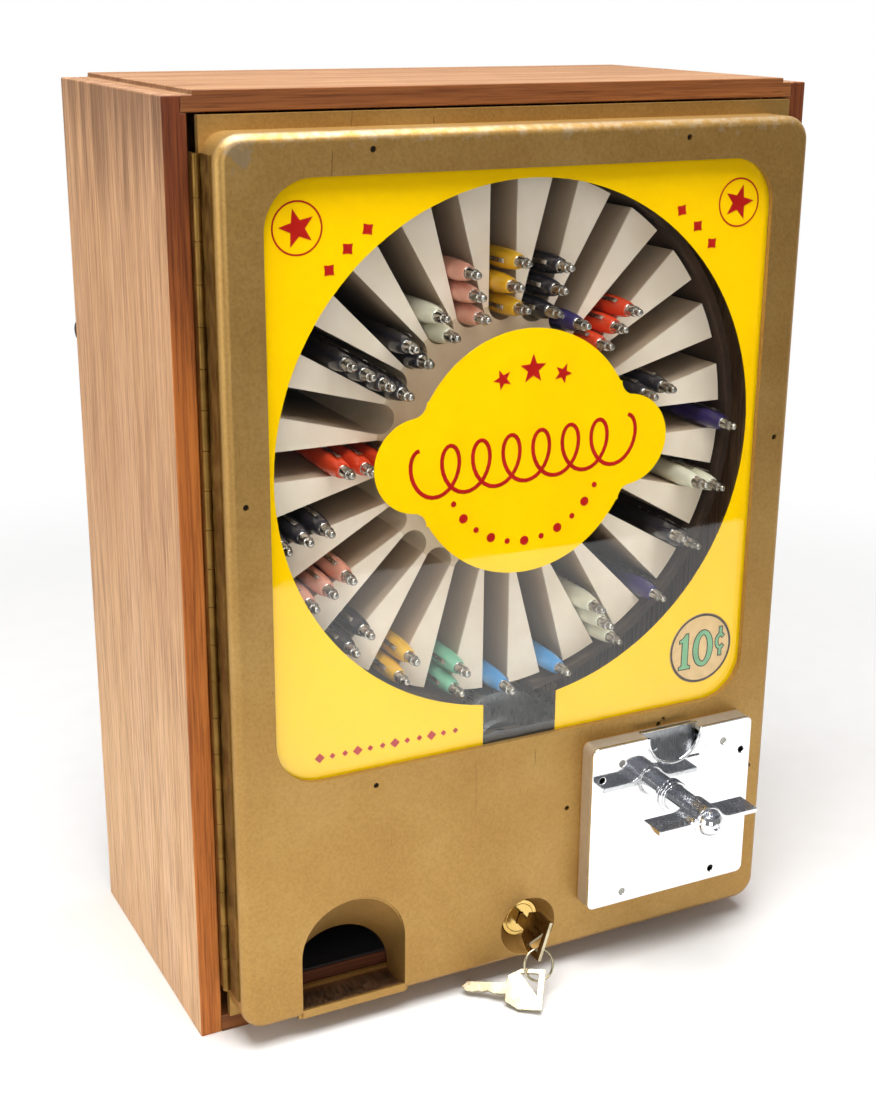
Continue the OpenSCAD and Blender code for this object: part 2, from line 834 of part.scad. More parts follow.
module feed_gears() {
    color("#B08A4A") translate([0, 0, 0]) {
        slab(gear1_front, gear1_front + gear_t) translate([0, rotor_z]) difference() {
            rotate(180 / feed_teeth) gear2d(feed_teeth, feed_mod);
            circle(shaft_r + run_gap);
        }
        slab(gear1_front + gear_t, gear2_front) translate([0, rotor_z]) ring2d(18, shaft_r + run_gap);
        slab(gear2_front, gear2_front + gear_t) translate([0, rotor_z]) difference() {
            rotate(drive_angle) gear2d(wheel_teeth, drive_mod);
            circle(shaft_r + run_gap);
            for (k = [0:4]) {
                rotate(k * 72) translate([0, wheel_gear_r * 0.59]) circle(wheel_gear_r * 0.23);
            }
        }
    }
}

module rotor_shaft() {
    color("#9A9C9E") rod([0, rotor_z], shaft_r, rotor_front - 6, plate_depth - fit_gap);
}

module drive_shaft() {
    color("#9A9C9E") difference() {
        union() {
            rod([coin_x, coin_z], shaft_r, dog_front, plate_depth - fit_gap);
            rod([coin_x, coin_z], dog_r, dog_front, dog_front + dog_len);
        }
        block([coin_x - tongue_w / 2 - fit_gap, dog_front - bite, coin_z - dog_r - bite],
            [coin_x + tongue_w / 2 + fit_gap, dog_front + tongue_len + 1, coin_z + dog_r + bite]);
    }
}

module drive_pinion() {
    color("#B08A4A") slab(gear2_front, gear2_front + gear_t) translate([coin_x, coin_z]) difference() {
        rotate(drive_angle + 180 + 180 / pinion_teeth) gear2d(pinion_teeth, drive_mod);
        circle(shaft_r + run_gap);
    }
}

module bearings() {
    start = gear2_front + gear_t + 1;
    color("#5E5A52") for (p = [[0, rotor_z], [coin_x, coin_z]]) {
        slab(start, plate_depth) translate(p) ring2d(bearing_r, shaft_r + run_gap);
    }
}

module shaft_bracket() {
    front = dog_front + dog_len + 4;
    color("#5E5A52") difference() {
        union() {
            block([coin_x - 14, front, coin_z - 14], [inner_x, front + 3, coin_z + 14]);
            block([inner_x - 3, front, coin_z - 14], [inner_x, front + 26, coin_z + 14]);
        }
        rod([coin_x, coin_z], shaft_r + run_gap, front - bite, front + 3 + bite);
    }
}

module shroud() {
    color("#3B2A20") difference() {
        slab(shroud_front, shroud_back) translate([0, drum_z]) ring2d(shroud_r + shroud_t, shroud_r);
        slab(shroud_front - bite, shroud_back + bite) translate([0, drum_z])
            polygon([[0, 0], 2 * shroud_r * [-sin(shroud_cut), -1], 2 * shroud_r * [sin(shroud_cut), -1]]);
    }
}

module shroud_posts() {
    color("#55585A") for (a = [45, 135, 225, 315]) {
        translate([0, 0, drum_z]) rotate([0, a, 0]) translate([0, 0, -drum_z]) {
            difference() {
                block([-lug_half, shroud_back, drum_z + shroud_r + 0.6], [lug_half, shroud_back + 2, drum_z + post_at + 6]);
                rod([0, drum_z], shroud_r + 0.8, shroud_back - bite, shroud_back + 2 + bite);
            }
            rod([0, drum_z + post_at], post_r, shroud_back + 2, plate_depth);
        }
    }
}

// Outline of a bent sheet of even thickness that follows a line of points.
function way(a, b) = (b - a) / norm(b - a);
function left(d) = [-d[1], d[0]];
function corner(p, i) =
    i == 0 ? left(way(p[0], p[1])) :
    i == len(p) - 1 ? left(way(p[i - 1], p[i])) :
    (left(way(p[i - 1], p[i])) + left(way(p[i], p[i + 1]))) / (1 + way(p[i - 1], p[i]) * way(p[i], p[i + 1]));
module bent_sheet(p, t) {
    polygon(concat([for (i = [0:len(p) - 1]) p[i] + corner(p, i) * t / 2],
        [for (i = [len(p) - 1:-1:0]) p[i] - corner(p, i) * t / 2]));
}

module chute() {
    floor_z = tray_z + sheet / 2;
    steps = 9;
    guard = [for (i = [0:steps]) let (a = guard_to + (guard_from - guard_to) * i / steps)
        [-guard_r * sin(a), rotor_z + guard_r * cos(a)]];
    ramp = [[rotor_r - 6, rotor_z - rotor_r - 4], [tray_x1 + 4, tray_z + rotor_r - 2], [tray_x1, floor_z],
            [tray_x0, floor_z], [tray_x0, rotor_z - rotor_r - 5]];
    color("#4A4A4C") slab(chute_front, chute_back) bent_sheet(concat(ramp, guard), sheet);
}

module delivery_sill() {
    color("#8A5236") for (y = [chute_front - 1, chute_back - sill_t - 2]) {
        block([tray_x0 - 8, y, board_t], [tray_x1 + 8, y + sill_t, tray_z]);
    }
}

module coin_box() {
    x0 = coin_x - 42;
    x1 = inner_x - 10;
    z1 = board_t + till_h;
    color("#6A6C6E") difference() {
        block([x0, till_front, board_t], [x1, till_back, z1]);
        block([x0 + sheet, till_front + sheet, board_t + sheet], [x1 - sheet, till_back - sheet, z1 + bite]);
    }
}

// Pens

module in_slot(row, k) {
    turn = (row[0] - 1) * 360 / slot_count;
    r = row[3] > 0 ? fin_r + k * pen_step : drum_r - pen_r - pen_gap - k * pen_step;
    side = abs(sin(turn)) > 0.1 ? sign(sin(turn)) : 1 - 2 * (k % 2);
    translate([0, 0, drum_z]) rotate([0, turn, 0]) translate([side * pen_side, front_y, r])
        rotate([-90, 0, 0]) children();
}

module pen_barrels(colour) {
    front = -pen_tip + button_len;
    for (row = pen_rows) {
        if (row[1] == colour) {
            for (k = [0:row[2] - 1]) {
                in_slot(row, k) {
                    translate([0, 0, front]) cylinder(r1 = pen_r * 0.72, r2 = pen_r, h = shoulder);
                    translate([0, 0, front + shoulder]) cylinder(r = pen_r, h = pen_back - nib_len - front - shoulder);
                    translate([0, 0, pen_back - nib_len]) cylinder(r1 = pen_r, r2 = 1.2, h = nib_len);
                }
            }
        }
    }
}

module pen_buttons() {
    tip = button_r * 0.6;
    color("#D0D2D4") for (row = pen_rows) {
        for (k = [0:row[2] - 1]) {
            in_slot(row, k) {
                translate([0, 0, -pen_tip]) cylinder(r1 = button_r * 0.6, r2 = button_r, h = tip);
                translate([0, 0, -pen_tip + tip]) cylinder(r = button_r, h = button_len - tip);
            }
        }
    }
}

module pens_yellow() {
    color("#E8B530") pen_barrels(0);
}

module pens_black() {
    color("#26242A") pen_barrels(1);
}

module pens_navy() {
    color("#2E2850") pen_barrels(2);
}

module pens_red() {
    color("#E04A2A") pen_barrels(3);
}

module pens_cream() {
    color("#E6E2D0") pen_barrels(4);
}

module pens_blue() {
    color("#4E9AD8") pen_barrels(5);
}

module pens_green() {
    color("#7FC0A0") pen_barrels(6);
}

module pens_pink() {
    color("#E8A48C") pen_barrels(7);
}

left_side();
right_side();
top_panel();
bottom_panel();
back_panel();
screw_eyes();
door();
window_pane();
printed_panel();
medallion();
price_disc();
pane_frame();
frame_studs();
hinge_door();
hinge_case();
coin_plate();
plate_screws();
coin_housing();
coin_chute();
coin_wheel();
coin_handle();
spindle();
lock_bracket();
lock_barrel();
lock_plug();
lock_cam();
strike_plate();
key();
key_ring();
spare_key();
drum();
drum_fins();
drum_disc();
drum_gear();
axle();
mech_plate();
rotor();
rotor_cap();
feed_gears();
rotor_shaft();
drive_shaft();
drive_pinion();
bearings();
shaft_bracket();
shroud();
shroud_posts();
chute();
delivery_sill();
coin_box();
pen_buttons();
pens_yellow();
pens_black();
pens_navy();
pens_red();
pens_cream();
pens_blue();
pens_green();
pens_pink();
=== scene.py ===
# %% [markdown]
# # A wooden pen vending machine, dressed for its picture
# The solids of the machine come in as finished shapes that already stand in the right place, in metres. This
# lesson gives each of them the surface of the real thing: oak, bronze paint, chrome, brass, printed acrylic.
# Where a plain solid looks too sharp or too simple, a more detailed piece takes its place.

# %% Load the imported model
import math
import bpy
from mathutils import Matrix, Vector


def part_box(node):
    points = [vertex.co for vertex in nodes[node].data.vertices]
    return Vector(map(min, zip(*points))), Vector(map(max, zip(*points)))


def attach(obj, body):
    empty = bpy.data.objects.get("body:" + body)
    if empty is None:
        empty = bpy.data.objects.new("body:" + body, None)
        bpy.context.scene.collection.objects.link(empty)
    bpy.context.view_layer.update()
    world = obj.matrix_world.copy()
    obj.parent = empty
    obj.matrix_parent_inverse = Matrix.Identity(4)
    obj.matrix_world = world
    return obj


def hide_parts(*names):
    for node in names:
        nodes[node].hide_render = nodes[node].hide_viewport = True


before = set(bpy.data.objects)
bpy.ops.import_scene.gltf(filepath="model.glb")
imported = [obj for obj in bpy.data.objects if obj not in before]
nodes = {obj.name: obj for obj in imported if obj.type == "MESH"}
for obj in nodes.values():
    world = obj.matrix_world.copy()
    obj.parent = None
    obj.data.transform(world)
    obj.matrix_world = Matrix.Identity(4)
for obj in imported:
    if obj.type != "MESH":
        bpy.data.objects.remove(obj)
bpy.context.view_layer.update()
bpy.ops.object.select_all(action="DESELECT")

# %% [markdown]
# ## Places and colours
# The machine was measured in millimetres: across from the middle, behind the front edges of the wooden case,
# and up from the table. A depth in front of those edges is negative. One helper turns such a place into
# metres. Colours are written as the eye reads them on a screen, and one function turns them into the linear
# values that shaders work in.

# %% Helpers for places and colours
CASE_FRONT = -86
DOOR_FACE, DOOR_BACK, DOOR_TOP = -26.7, -23.7, 479.3


def mm(size):
    return size / 1000


def spot(x, depth, z):
    return Vector((x, CASE_FRONT + depth, z)) / 1000


def deep(depth):
    return spot(0, depth, 0).y


def tint(code):
    parts = [int(code[i:i + 2], 16) / 255 for i in (1, 3, 5)]
    return [p / 12.92 if p <= 0.04045 else ((p + 0.055) / 1.055) ** 2.4 for p in parts] + [1]


print("top of the door at", spot(0, DOOR_FACE, DOOR_TOP))

# %% [markdown]
# ## Camera
# The photograph was taken from a little above the machine and from its left. The camera's place and lens come
# from matching known corners of the machine with the picture, and the small roll levels it as the
# photographer held it.

# %% Camera
CAMERA_PLACE = (-0.4236, -0.8381, 0.5418)
CAMERA_AIM = (-0.0400, -0.0860, 0.2588)
CAMERA_ROLL = 0.45
bpy.ops.object.camera_add(location=CAMERA_PLACE)
camera = bpy.context.object
aim = Vector(CAMERA_AIM) - camera.location
camera.rotation_euler = aim.to_track_quat("-Z", "Y").to_euler()
camera.rotation_euler.rotate_axis("Z", math.radians(CAMERA_ROLL))
camera.data.lens = 54.86
camera.data.sensor_width = 36
bpy.context.scene.camera = camera
bpy.context.scene.view_settings.view_transform = "Standard"
print("camera looks down by", round(math.degrees(math.asin(-aim.normalized().z)), 1), "degrees")

# %% [markdown]
# ## Adding nodes
# A procedural finish is a small graph of nodes. One function adds a node, sets what it is given and links the
# rest, so that each finish below reads as a list of what its surface is made of.

# %% The node helper and a blank finish
def add(tree, kind, inputs=None, stops=(), **settings):
    node = tree.nodes.new("ShaderNode" + kind)
    for name, value in settings.items():
        setattr(node, name, value)
    for i, (place, code) in enumerate(stops):
        points = node.color_ramp.elements
        point = points[i] if i < 2 else points.new(place)
        point.position, point.color = place, tint(code)
    for name, value in (inputs or {}).items():
        if isinstance(value, bpy.types.Node):
            value = value.outputs[0]
        if isinstance(value, bpy.types.NodeSocket):
            tree.links.new(value, node.inputs[name])
        else:
            node.inputs[name].default_value = value
    return node


def blank_finish(name, **sockets):
    finish = bpy.data.materials.new(name)
    finish.use_nodes = True
    tree = finish.node_tree
    surface = tree.nodes["Principled BSDF"]
    for socket, value in sockets.items():
        surface.inputs[socket.replace("_", " ")].default_value = value
    return finish, tree, surface


def wire(tree, node, **ends):
    for socket, value in ends.items():
        source = value if isinstance(value, bpy.types.NodeSocket) else value.outputs[0]
        tree.links.new(source, node.inputs[socket.replace("_", " ")])


print("node helper ready")

# %% [markdown]
# Five kinds of node come back in most finishes, so each gets a short name: noise with grains of a given size
# in millimetres, a ramp from one value to another, a calculation, one colour laid over another, and the place
# on the piece.

# %% Short names for common nodes
def noise(tree, size, detail, **more):
    sizes = size if isinstance(size, tuple) else (size, size, size)
    place = add(tree, "TexCoord")
    scaled = add(tree, "Mapping", {"Vector": place.outputs["Object"], "Scale": [1000 / s for s in sizes]})
    return add(tree, "TexNoise", {"Vector": scaled, "Scale": 1, "Detail": detail, **more})


def ramp(tree, value, low, high, start=0.0, end=1.0, **settings):
    limits = {"Value": value, "From Min": low, "From Max": high, "To Min": start, "To Max": end}
    return add(tree, "MapRange", limits, **settings)


def maths(tree, operation, *values):
    return add(tree, "Math", dict(enumerate(values)), operation=operation)


def layer(tree, share, under, over, blend="MIX"):
    mix = add(tree, "Mix", {0: share, 6: under, 7: over}, data_type="RGBA", blend_type=blend)
    return mix.outputs[2]


def where(tree):
    place = add(tree, "TexCoord")
    return add(tree, "SeparateXYZ", {"Vector": place.outputs["Object"]})


print("short names: noise, ramp, maths, layer, where")

# %% [markdown]
# ## Table
# The machine stands on white paper that fades to pure white away from it, as a photographer's sweep does. The
# fade is a glow that only the lens, reflections and the pane see, so it doesn't light the machine.

# %% Table
TABLE_SIZE, TABLE_FRONT = 10, -0.77
FADE_FROM, FADE_TO = 0.36, 1.0
bpy.ops.mesh.primitive_plane_add(size=TABLE_SIZE, location=(0, TABLE_FRONT + TABLE_SIZE / 2, 0))
table = bpy.context.object
table.name = "table"
bpy.ops.object.transform_apply(location=True, rotation=True, scale=True)
# Matt and almost white, with a faint fibre.
paper, tree, surface = blank_finish("white paper", Roughness=0.8)
place = add(tree, "TexCoord")
far = add(tree, "VectorMath", {0: place.outputs["Object"]}, operation="LENGTH")
fade = ramp(tree, far.outputs["Value"], FADE_FROM, FADE_TO, interpolation_type="SMOOTHSTEP")
fibre = add(tree, "TexNoise", {"Vector": place.outputs["Object"], "Scale": 40})
white = add(tree, "ValToRGB", {"Fac": fibre}, stops=[(0.2, "#F3F2F0"), (0.8, "#F6F5F4")])
wire(tree, surface, Base_Color=white)
path = add(tree, "LightPath")
seen = maths(tree, "MAXIMUM", path.outputs["Is Camera Ray"], path.outputs["Is Glossy Ray"])
seen = maths(tree, "MAXIMUM", seen, path.outputs["Is Transmission Ray"])
share = maths(tree, "MULTIPLY", seen, fade)
glow = add(tree, "Emission", {"Color": (1, 1, 1, 1), "Strength": 1})
both = add(tree, "MixShader", {0: share, 1: surface, 2: glow})
wire(tree, tree.nodes["Material Output"], Surface=both)
table.data.materials.append(paper)
print("table starts at", TABLE_FRONT, "m and fades from", FADE_FROM, "to", FADE_TO, "m")

# %% [markdown]
# ## Lamps
# A large lamp overhead lights the paper, which throws light up on the lower half of the machine. A lamp far
# in front opens the door, and a weak one on the left gives the boards their shape. Large lamps make soft
# shadows.

# %% Lamps
def lamp(name, location, target, size, power):
    bpy.ops.object.light_add(type="AREA", location=location)
    light = bpy.context.object
    light.name = name
    light.data.size = size
    light.data.energy = power
    light.rotation_euler = (Vector(target) - light.location).to_track_quat("-Z", "Y").to_euler()


lamp("ceiling_lamp", (-0.15, -0.30, 1.30), (-0.15, -0.30, 0), 1.0, 28)
lamp("front_lamp", (-0.8, -2.3, 0.5), (0, 0, 0.10), 1.2, 11.5)
lamp("left_lamp", (-1.5, -0.3, 0.40), (-0.18, 0, 0.05), 0.9, 6)

# %% [markdown]
# ## Room
# The room is white for the lens and straight through the clear pane. What shines sees it dim in front and
# below, which gives chrome and brass their dark parts, and everything else gets only a soft light from it.

# %% Room
DIM_BELOW, DIM_IN_FRONT, ROOM_LIGHT = 0.1, 0.25, 0.25
world = bpy.data.worlds.new("white room")
bpy.context.scene.world = world
world.use_nodes = True
tree = world.node_tree
place = add(tree, "TexCoord")
way = add(tree, "SeparateXYZ", {"Vector": place.outputs["Generated"]})
above = ramp(tree, way.outputs["Z"], -0.03, 0.03, DIM_BELOW)
behind = ramp(tree, way.outputs["Y"], -0.3, 0.4, DIM_IN_FRONT)
sky = maths(tree, "MULTIPLY", above, behind)
path = add(tree, "LightPath")
through = path.outputs["Is Transmission Ray"]
shiny = maths(tree, "MAXIMUM", path.outputs["Is Glossy Ray"], through)
mirrored = maths(tree, "MULTIPLY", shiny, sky)
soft = ramp(tree, shiny, 0, 1, ROOM_LIGHT, 0)
level = maths(tree, "ADD", mirrored, soft)
level = maths(tree, "MAXIMUM", level, path.outputs["Is Camera Ray"])
bounces = maths(tree, "ADD", path.outputs["Glossy Depth"], path.outputs["Diffuse Depth"])
straight = maths(tree, "LESS_THAN", bounces, 0.5)
straight = maths(tree, "MULTIPLY", straight, through)
level = maths(tree, "MAXIMUM", level, straight)
tree.nodes["Background"].inputs["Color"].default_value = (1, 1, 1, 1)
wire(tree, tree.nodes["Background"], Strength=level)
print("room:", world.name)

# %% [markdown]
# ## Wood
# The case is old oak: a pinkish tan face veneer with fine dark pores that run up the sides, and darker
# stained solid wood along the front edges, both with painted shade that greys and darkens them near the top.
# Wood is
# three things on top of each other: broad bands of tone, fine fibres, and short dark pores. All three are
# noise, stretched along the grain, and ragged bands by height lay the painted shade over them.

# %% Wood finishes
TONE_STEPS = (0.30, 0.50, 0.72)


def plank(name, grain, tones, pore, painted_top_shade=(), gloss=0.3):
    finish, tree, surface = blank_finish(name, Specular_IOR_Level=gloss)

    def along(wide, long):
        return tuple(long if axis == grain else wide for axis in "XYZ")

    figure = noise(tree, along(16, 420), 5, Distortion=0.2)
    tone = add(tree, "ValToRGB", {"Fac": figure}, stops=zip(TONE_STEPS, tones))
    fibre = noise(tree, along(1.2, 60), 5, Roughness=0.7)
    line = add(tree, "ValToRGB", {"Fac": fibre}, stops=[(0.36, "#A58A74"), (0.56, "#FFFFFF")])
    wood = layer(tree, 0.75, tone, line, "MULTIPLY")
    dash = noise(tree, along(1.2, 32), 3, Roughness=0.6)
    crowd = noise(tree, along(16, 190), 2)
    dash = maths(tree, "MULTIPLY_ADD", crowd, 0.35, dash)
    dark = ramp(tree, dash, 0.74, 0.9, 0, 0.6)
    wood = layer(tree, dark, wood, tint(pore))
    # Painted shade: ragged bands by height that darken the wood towards the top.
    for low, high, colour, most in painted_top_shade:
        cloud = noise(tree, along(11, 170), 5, Roughness=0.6)
        uneven = ramp(tree, cloud, 0.35, 0.65, mm(-40), mm(30))
        edge = maths(tree, "ADD", where(tree).outputs["Z"], uneven)
        share = ramp(tree, edge, mm(low), mm(high), 0, most, interpolation_type="SMOOTHSTEP")
        wood = layer(tree, share, wood, tint(colour), "MULTIPLY")
    sheen = ramp(tree, fibre, 0, 1, 0.5, 0.75)
    relief = maths(tree, "SUBTRACT", fibre, dark)
    bump = add(tree, "Bump", {"Height": relief, "Strength": 0.35, "Distance": mm(0.25)})
    wire(tree, surface, Base_Color=wood, Roughness=sheen, Normal=bump)
    return finish


# Pinkish tan, with painted shade that greys it towards the top.
side_oak = plank("worn oak veneer", "Z", ("#DDB182", "#E2B78A", "#E7BE94"), "#86593F",
                 [(90, 330, "#E6DAD2", 0.8), (415, 505, "#A69A92", 0.85)])
# Warm orange brown with painted shade that darkens it towards the top: a frame round the door.
edge_oak = plank("stained oak edge", "Z", ("#A45A22", "#BE702E", "#CC8644"), "#5E3013",
                 [(300, 480, "#8C706A", 0.95)])
# Darker brown with its grain across.
rail_oak = plank("stained oak rail", "X", ("#74431F", "#8C5529", "#A26A3A"), "#43220F")
# Dull and greyish: dust takes the shine off the top.
top_oak = plank("dusty oak top", "X", ("#8F6848", "#9D7655", "#AA8564"), "#5B3B28", gloss=0.1)
# Dry and dull, as on a side that nobody was meant to see.
plain_wood = plank("unfinished plywood", "Z", ("#8F6A4C", "#A07B5B", "#B59170"), "#5A3F2C")
# Deep red brown in the shade of the opening.
sill_wood = plank("red stained strip", "X", ("#5E3420", "#7A4529", "#8C5535"), "#3A2014")
print("woods:", side_oak.name, edge_oak.name, top_oak.name, plain_wood.name)

# %% [markdown]
# ## Bronze paint
# The door is pressed steel under a gold-bronze lacquer. Bronze powder in the lacquer makes it half metallic,
# and a fine stipple breaks the shine. The real stipple is too fine to show, so this one is drawn coarser.

# %% Bronze lacquer
# A warm, half metallic gold with a soft, grainy shine.
bronze, tree, surface = blank_finish("gold bronze lacquer", Metallic=0.7)
cloud = noise(tree, 45, 4)
coat = add(tree, "ValToRGB", {"Fac": cloud}, stops=zip(TONE_STEPS, ("#AA8346", "#B08A4C", "#B69255")))
stipple = noise(tree, 1.6, 3)
dust = add(tree, "ValToRGB", {"Fac": stipple}, stops=[(0.3, "#E4E0D8"), (0.65, "#FFFFFF")])
coat = layer(tree, 0.7, coat, dust, "MULTIPLY")
gloss = ramp(tree, stipple, 0, 1, 0.34, 0.52)
bump = add(tree, "Bump", {"Height": stipple, "Strength": 0.12, "Distance": mm(0.3)})
wire(tree, surface, Roughness=gloss, Normal=bump)
print("door finish:", bronze.name)

# %% [markdown]
# ## Wear and a painted highlight on the bronze
# Years of use left dark chips and long scratches, one small bare corner, a rubbed edge along the top, and a
# boss round the coin plate that hands have polished grey. The lighter band along the top edge is partly that
# wear and partly a painted highlight. Chips and scratches are thresholds on noise. The corner is a soft ball
# of bare metal, and edge and boss are picked out by their height and depth.

# %% Chips, scratches, rubbed places and a painted highlight
BARE_CORNER = spot(-156, DOOR_FACE, 472)
CREST_LOW, CREST_HIGH = 475, 482
EDGE_START, EDGE_FULL = -18, -23
BOSS_START, BOSS_FULL = -27.3, -28.5
spots = noise(tree, 4.5, 4, Roughness=0.7)
chips = ramp(tree, spots, 0.735, 0.76, 0, 0.85)
coat = layer(tree, chips, coat, tint("#3B2E1E"))
hair = noise(tree, (2.2, 40, 46), 2, Distortion=0.8)
scratch = ramp(tree, hair, 0.735, 0.75, 0, 0.6)
coat = layer(tree, scratch, coat, tint("#5A4526"))
rag = noise(tree, 5, 5, Roughness=0.65)
ragged = ramp(tree, rag, 0.3, 0.7, mm(-7), mm(7))
place = add(tree, "TexCoord")
corner = add(tree, "VectorMath", {0: place.outputs["Object"], 1: BARE_CORNER}, operation="DISTANCE")
reach = maths(tree, "ADD", corner.outputs["Value"], ragged)
bare = ramp(tree, reach, mm(8), mm(4), 0, 0.45)
coat = layer(tree, bare, coat, tint("#8E887A"))
split = where(tree)
# Partly rubbed wear and partly painted highlight: a lighter band along the front of the top edge.
crest = maths(tree, "ADD", split.outputs["Z"], ragged)
rubbed_and_highlight = ramp(tree, crest, mm(CREST_LOW), mm(CREST_HIGH), 0, 0.5)
front = ramp(tree, split.outputs["Y"], deep(EDGE_START), deep(EDGE_FULL))
rubbed_and_highlight = maths(tree, "MULTIPLY", rubbed_and_highlight, front)
coat = layer(tree, rubbed_and_highlight, coat, tint("#BDB09A"))
proud = ramp(tree, split.outputs["Y"], deep(BOSS_START), deep(BOSS_FULL))
grip = ramp(tree, rag, 0.3, 0.6, 0.7, 0.95)
grip = maths(tree, "MULTIPLY", grip, proud)
coat = layer(tree, grip, coat, tint("#C6BDAC"))
wire(tree, surface, Base_Color=coat)
print("nodes in the door finish:", len(tree.nodes))

# %% [markdown]
# ## Bright metals
# Chrome plate is almost a mirror, but old chrome is pitted: tiny dark pinholes in clusters. Brass and nickel
# silver are softer, with fine rubbing marks. One recipe serves them all: a metal colour, a broad tarnish,
# pits of a given size, and fine scratches in the roughness.

# %% Metal finishes
def metal(name, shine, tarnish, rough, pit_size=None, pit=None, pit_level=0.66):
    finish, tree, surface = blank_finish(name, Metallic=1.0)
    cloud = noise(tree, 18, 4)
    colour = add(tree, "ValToRGB", {"Fac": cloud}, stops=[(0.35, tarnish), (0.6, shine)])
    rub = noise(tree, (0.7, 4, 9), 3)
    polish = ramp(tree, rub, 0.3, 0.7, rough * 0.7, rough * 1.4)
    if pit_size:
        grain = noise(tree, pit_size, 2)
        patch = noise(tree, 15, 2)
        mark = maths(tree, "MULTIPLY_ADD", patch, 0.35, grain)
        pits = ramp(tree, mark, pit_level + 0.15, pit_level + 0.19)
        colour = layer(tree, pits, colour, tint(pit))
        polish = maths(tree, "MULTIPLY_ADD", pits, 0.35, polish)
    bump = add(tree, "Bump", {"Height": rub, "Strength": 0.04, "Distance": mm(0.1)})
    wire(tree, surface, Base_Color=colour, Roughness=polish, Normal=bump)
    return finish


# A near mirror with a few grey pinholes.
plate_chrome = metal("chrome plate", "#F4F5F6", "#ECEDEE", 0.05, 1.3, "#A9AAAC", pit_level=0.74)
# Greyer and softer, crowded with dark pinholes where hands held it.
pitted_chrome = metal("pitted chrome casting", "#DADCE0", "#B6B9C0", 0.16, 0.9, "#5E6068", pit_level=0.47)
# Bright and whole, where nothing rubbed it.
clean_chrome = metal("bright chrome", "#E9EAEC", "#D8D9DB", 0.08)
# A soft grey shine.
pen_steel = metal("plated pen steel", "#CFCAC2", "#A9A39A", 0.24)
# Dull light grey.
screw_steel = metal("zinc screw", "#AFADA6", "#86847E", 0.34)
# Warm yellow, bright from use.
lock_brass = metal("lock brass", "#EACB80", "#D6B15F", 0.18)
# Pale with a touch of yellow.
key_nickel = metal("nickel silver", "#D2C9AC", "#A69C7E", 0.24)
# Darker yellow, never polished.
gear_brass = metal("gear brass", "#C8A65C", "#A98443", 0.3)
# The door's bronze lacquer over the hinge, made darker brown as painted shade, with a dull metallic shine.
hinge_bronze_shaded = metal("hinge bronze in painted shade", "#8A6A36", "#6E5226", 0.45)
# Dark grey with brown specks of old oil.
dark_steel = metal("oiled steel", "#7C7E80", "#5E6062", 0.38, 2.2, "#3A2E26")
# Plain grey, cast and not plated.
grey_zinc = metal("grey zinc casting", "#A4A6A8", "#83868A", 0.3)
# Almost black and matt.
black_iron = metal("blackened iron", "#4A4642", "#302C2A", 0.5)
# Brown with age, where no paint is left.
browned_steel = metal("browned steel", "#8E6E54", "#6A523E", 0.5)
# Dark brown with a low shine: the key's nickel silver in painted shade.
shaded_key = metal("key in painted shade", "#7A6038", "#5A4426", 0.34)
print("metals:", plate_chrome.name, lock_brass.name, key_nickel.name)

# %% [markdown]
# ## Plastics
# The drum is moulded in white plastic that has yellowed a little, with painted shade that darkens it down in
# its slots.
# Each pen is a glossy coloured plastic. A moulded surface still has a faint cloud of tone and dust, so none
# of these is one flat colour.

# %% Plastic finishes
DEPTH_RANGE = 100


def moulded(name, colour, shade, rough, cloud_size=30, painted_depth_shade=(), **sockets):
    finish, tree, surface = blank_finish(name, **sockets)
    cloud = noise(tree, cloud_size, 5, Roughness=0.6)
    body = add(tree, "ValToRGB", {"Fac": cloud}, stops=[(0.3, shade), (0.62, colour)])
    if painted_depth_shade:
        # Painted shade: the colour darkens with depth behind the front faces of the fins.
        down = ramp(tree, where(tree).outputs["Y"], deep(0), deep(DEPTH_RANGE))
        painted_slot_shade = add(tree, "ValToRGB", {"Fac": down}, stops=[(d / DEPTH_RANGE, code) for d, code in painted_depth_shade])
        body = layer(tree, 1.0, body, painted_slot_shade, "MULTIPLY")
    skin = noise(tree, 0.8, 2)
    gloss = ramp(tree, skin, 0, 1, rough * 0.75, rough * 1.25)
    bump = add(tree, "Bump", {"Height": skin, "Strength": 0.06, "Distance": mm(0.1)})
    wire(tree, surface, Base_Color=body, Roughness=gloss, Normal=bump)
    return finish


fin_face = 1000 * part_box("drum_fins")[0][1] - CASE_FRONT
# Creamy white on the front faces of the fins, with painted shade that turns it brown and then dark down in
# the slots.
drum_white = moulded("yellowed white plastic", "#FFF0DC", "#F2E0C8", 0.42, painted_depth_shade=[
    (fin_face + 0.4, "#FFFFFF"), (fin_face + 1.6, "#DAD0C4"), (fin_face + 30, "#A89C90"),
    (fin_face + 80, "#4A423A")])
# The same plastic, a little browner as painted shade.
hub_plastic_shaded = moulded("hub plastic in painted shade", "#E8D6BC", "#D6C0A0", 0.45)
# Painted shade: the floor deep in the slots is made dark, so that the pens stand out.
slot_floor_shade = moulded("dark slot floor", "#3E3730", "#2C2621", 0.6)
# Dull brown, like pressed card.
shroud_brown = moulded("brown fibreboard", "#4E3A2C", "#38291F", 0.62)
# Black with a faint shine.
chute_black = moulded("black painted sheet", "#242326", "#1A191B", 0.5)
# Matt black round the pane.
dark_board = moulded("black gasket board", "#33302D", "#24211F", 0.6)
pen_colours = {"yellow": ("#EDB92B", "#DDA418"), "black": ("#2E2B30", "#1F1D22"),
               "navy": ("#3A2F66", "#2A2350"), "red": ("#EA4A26", "#D63C1C"),
               "cream": ("#E9E6CF", "#D9D5B8"), "blue": ("#4C9EDC", "#3A88C8"),
               "green": ("#83C8A6", "#6DB592"), "pink": ("#E9A68E", "#DB937A")}
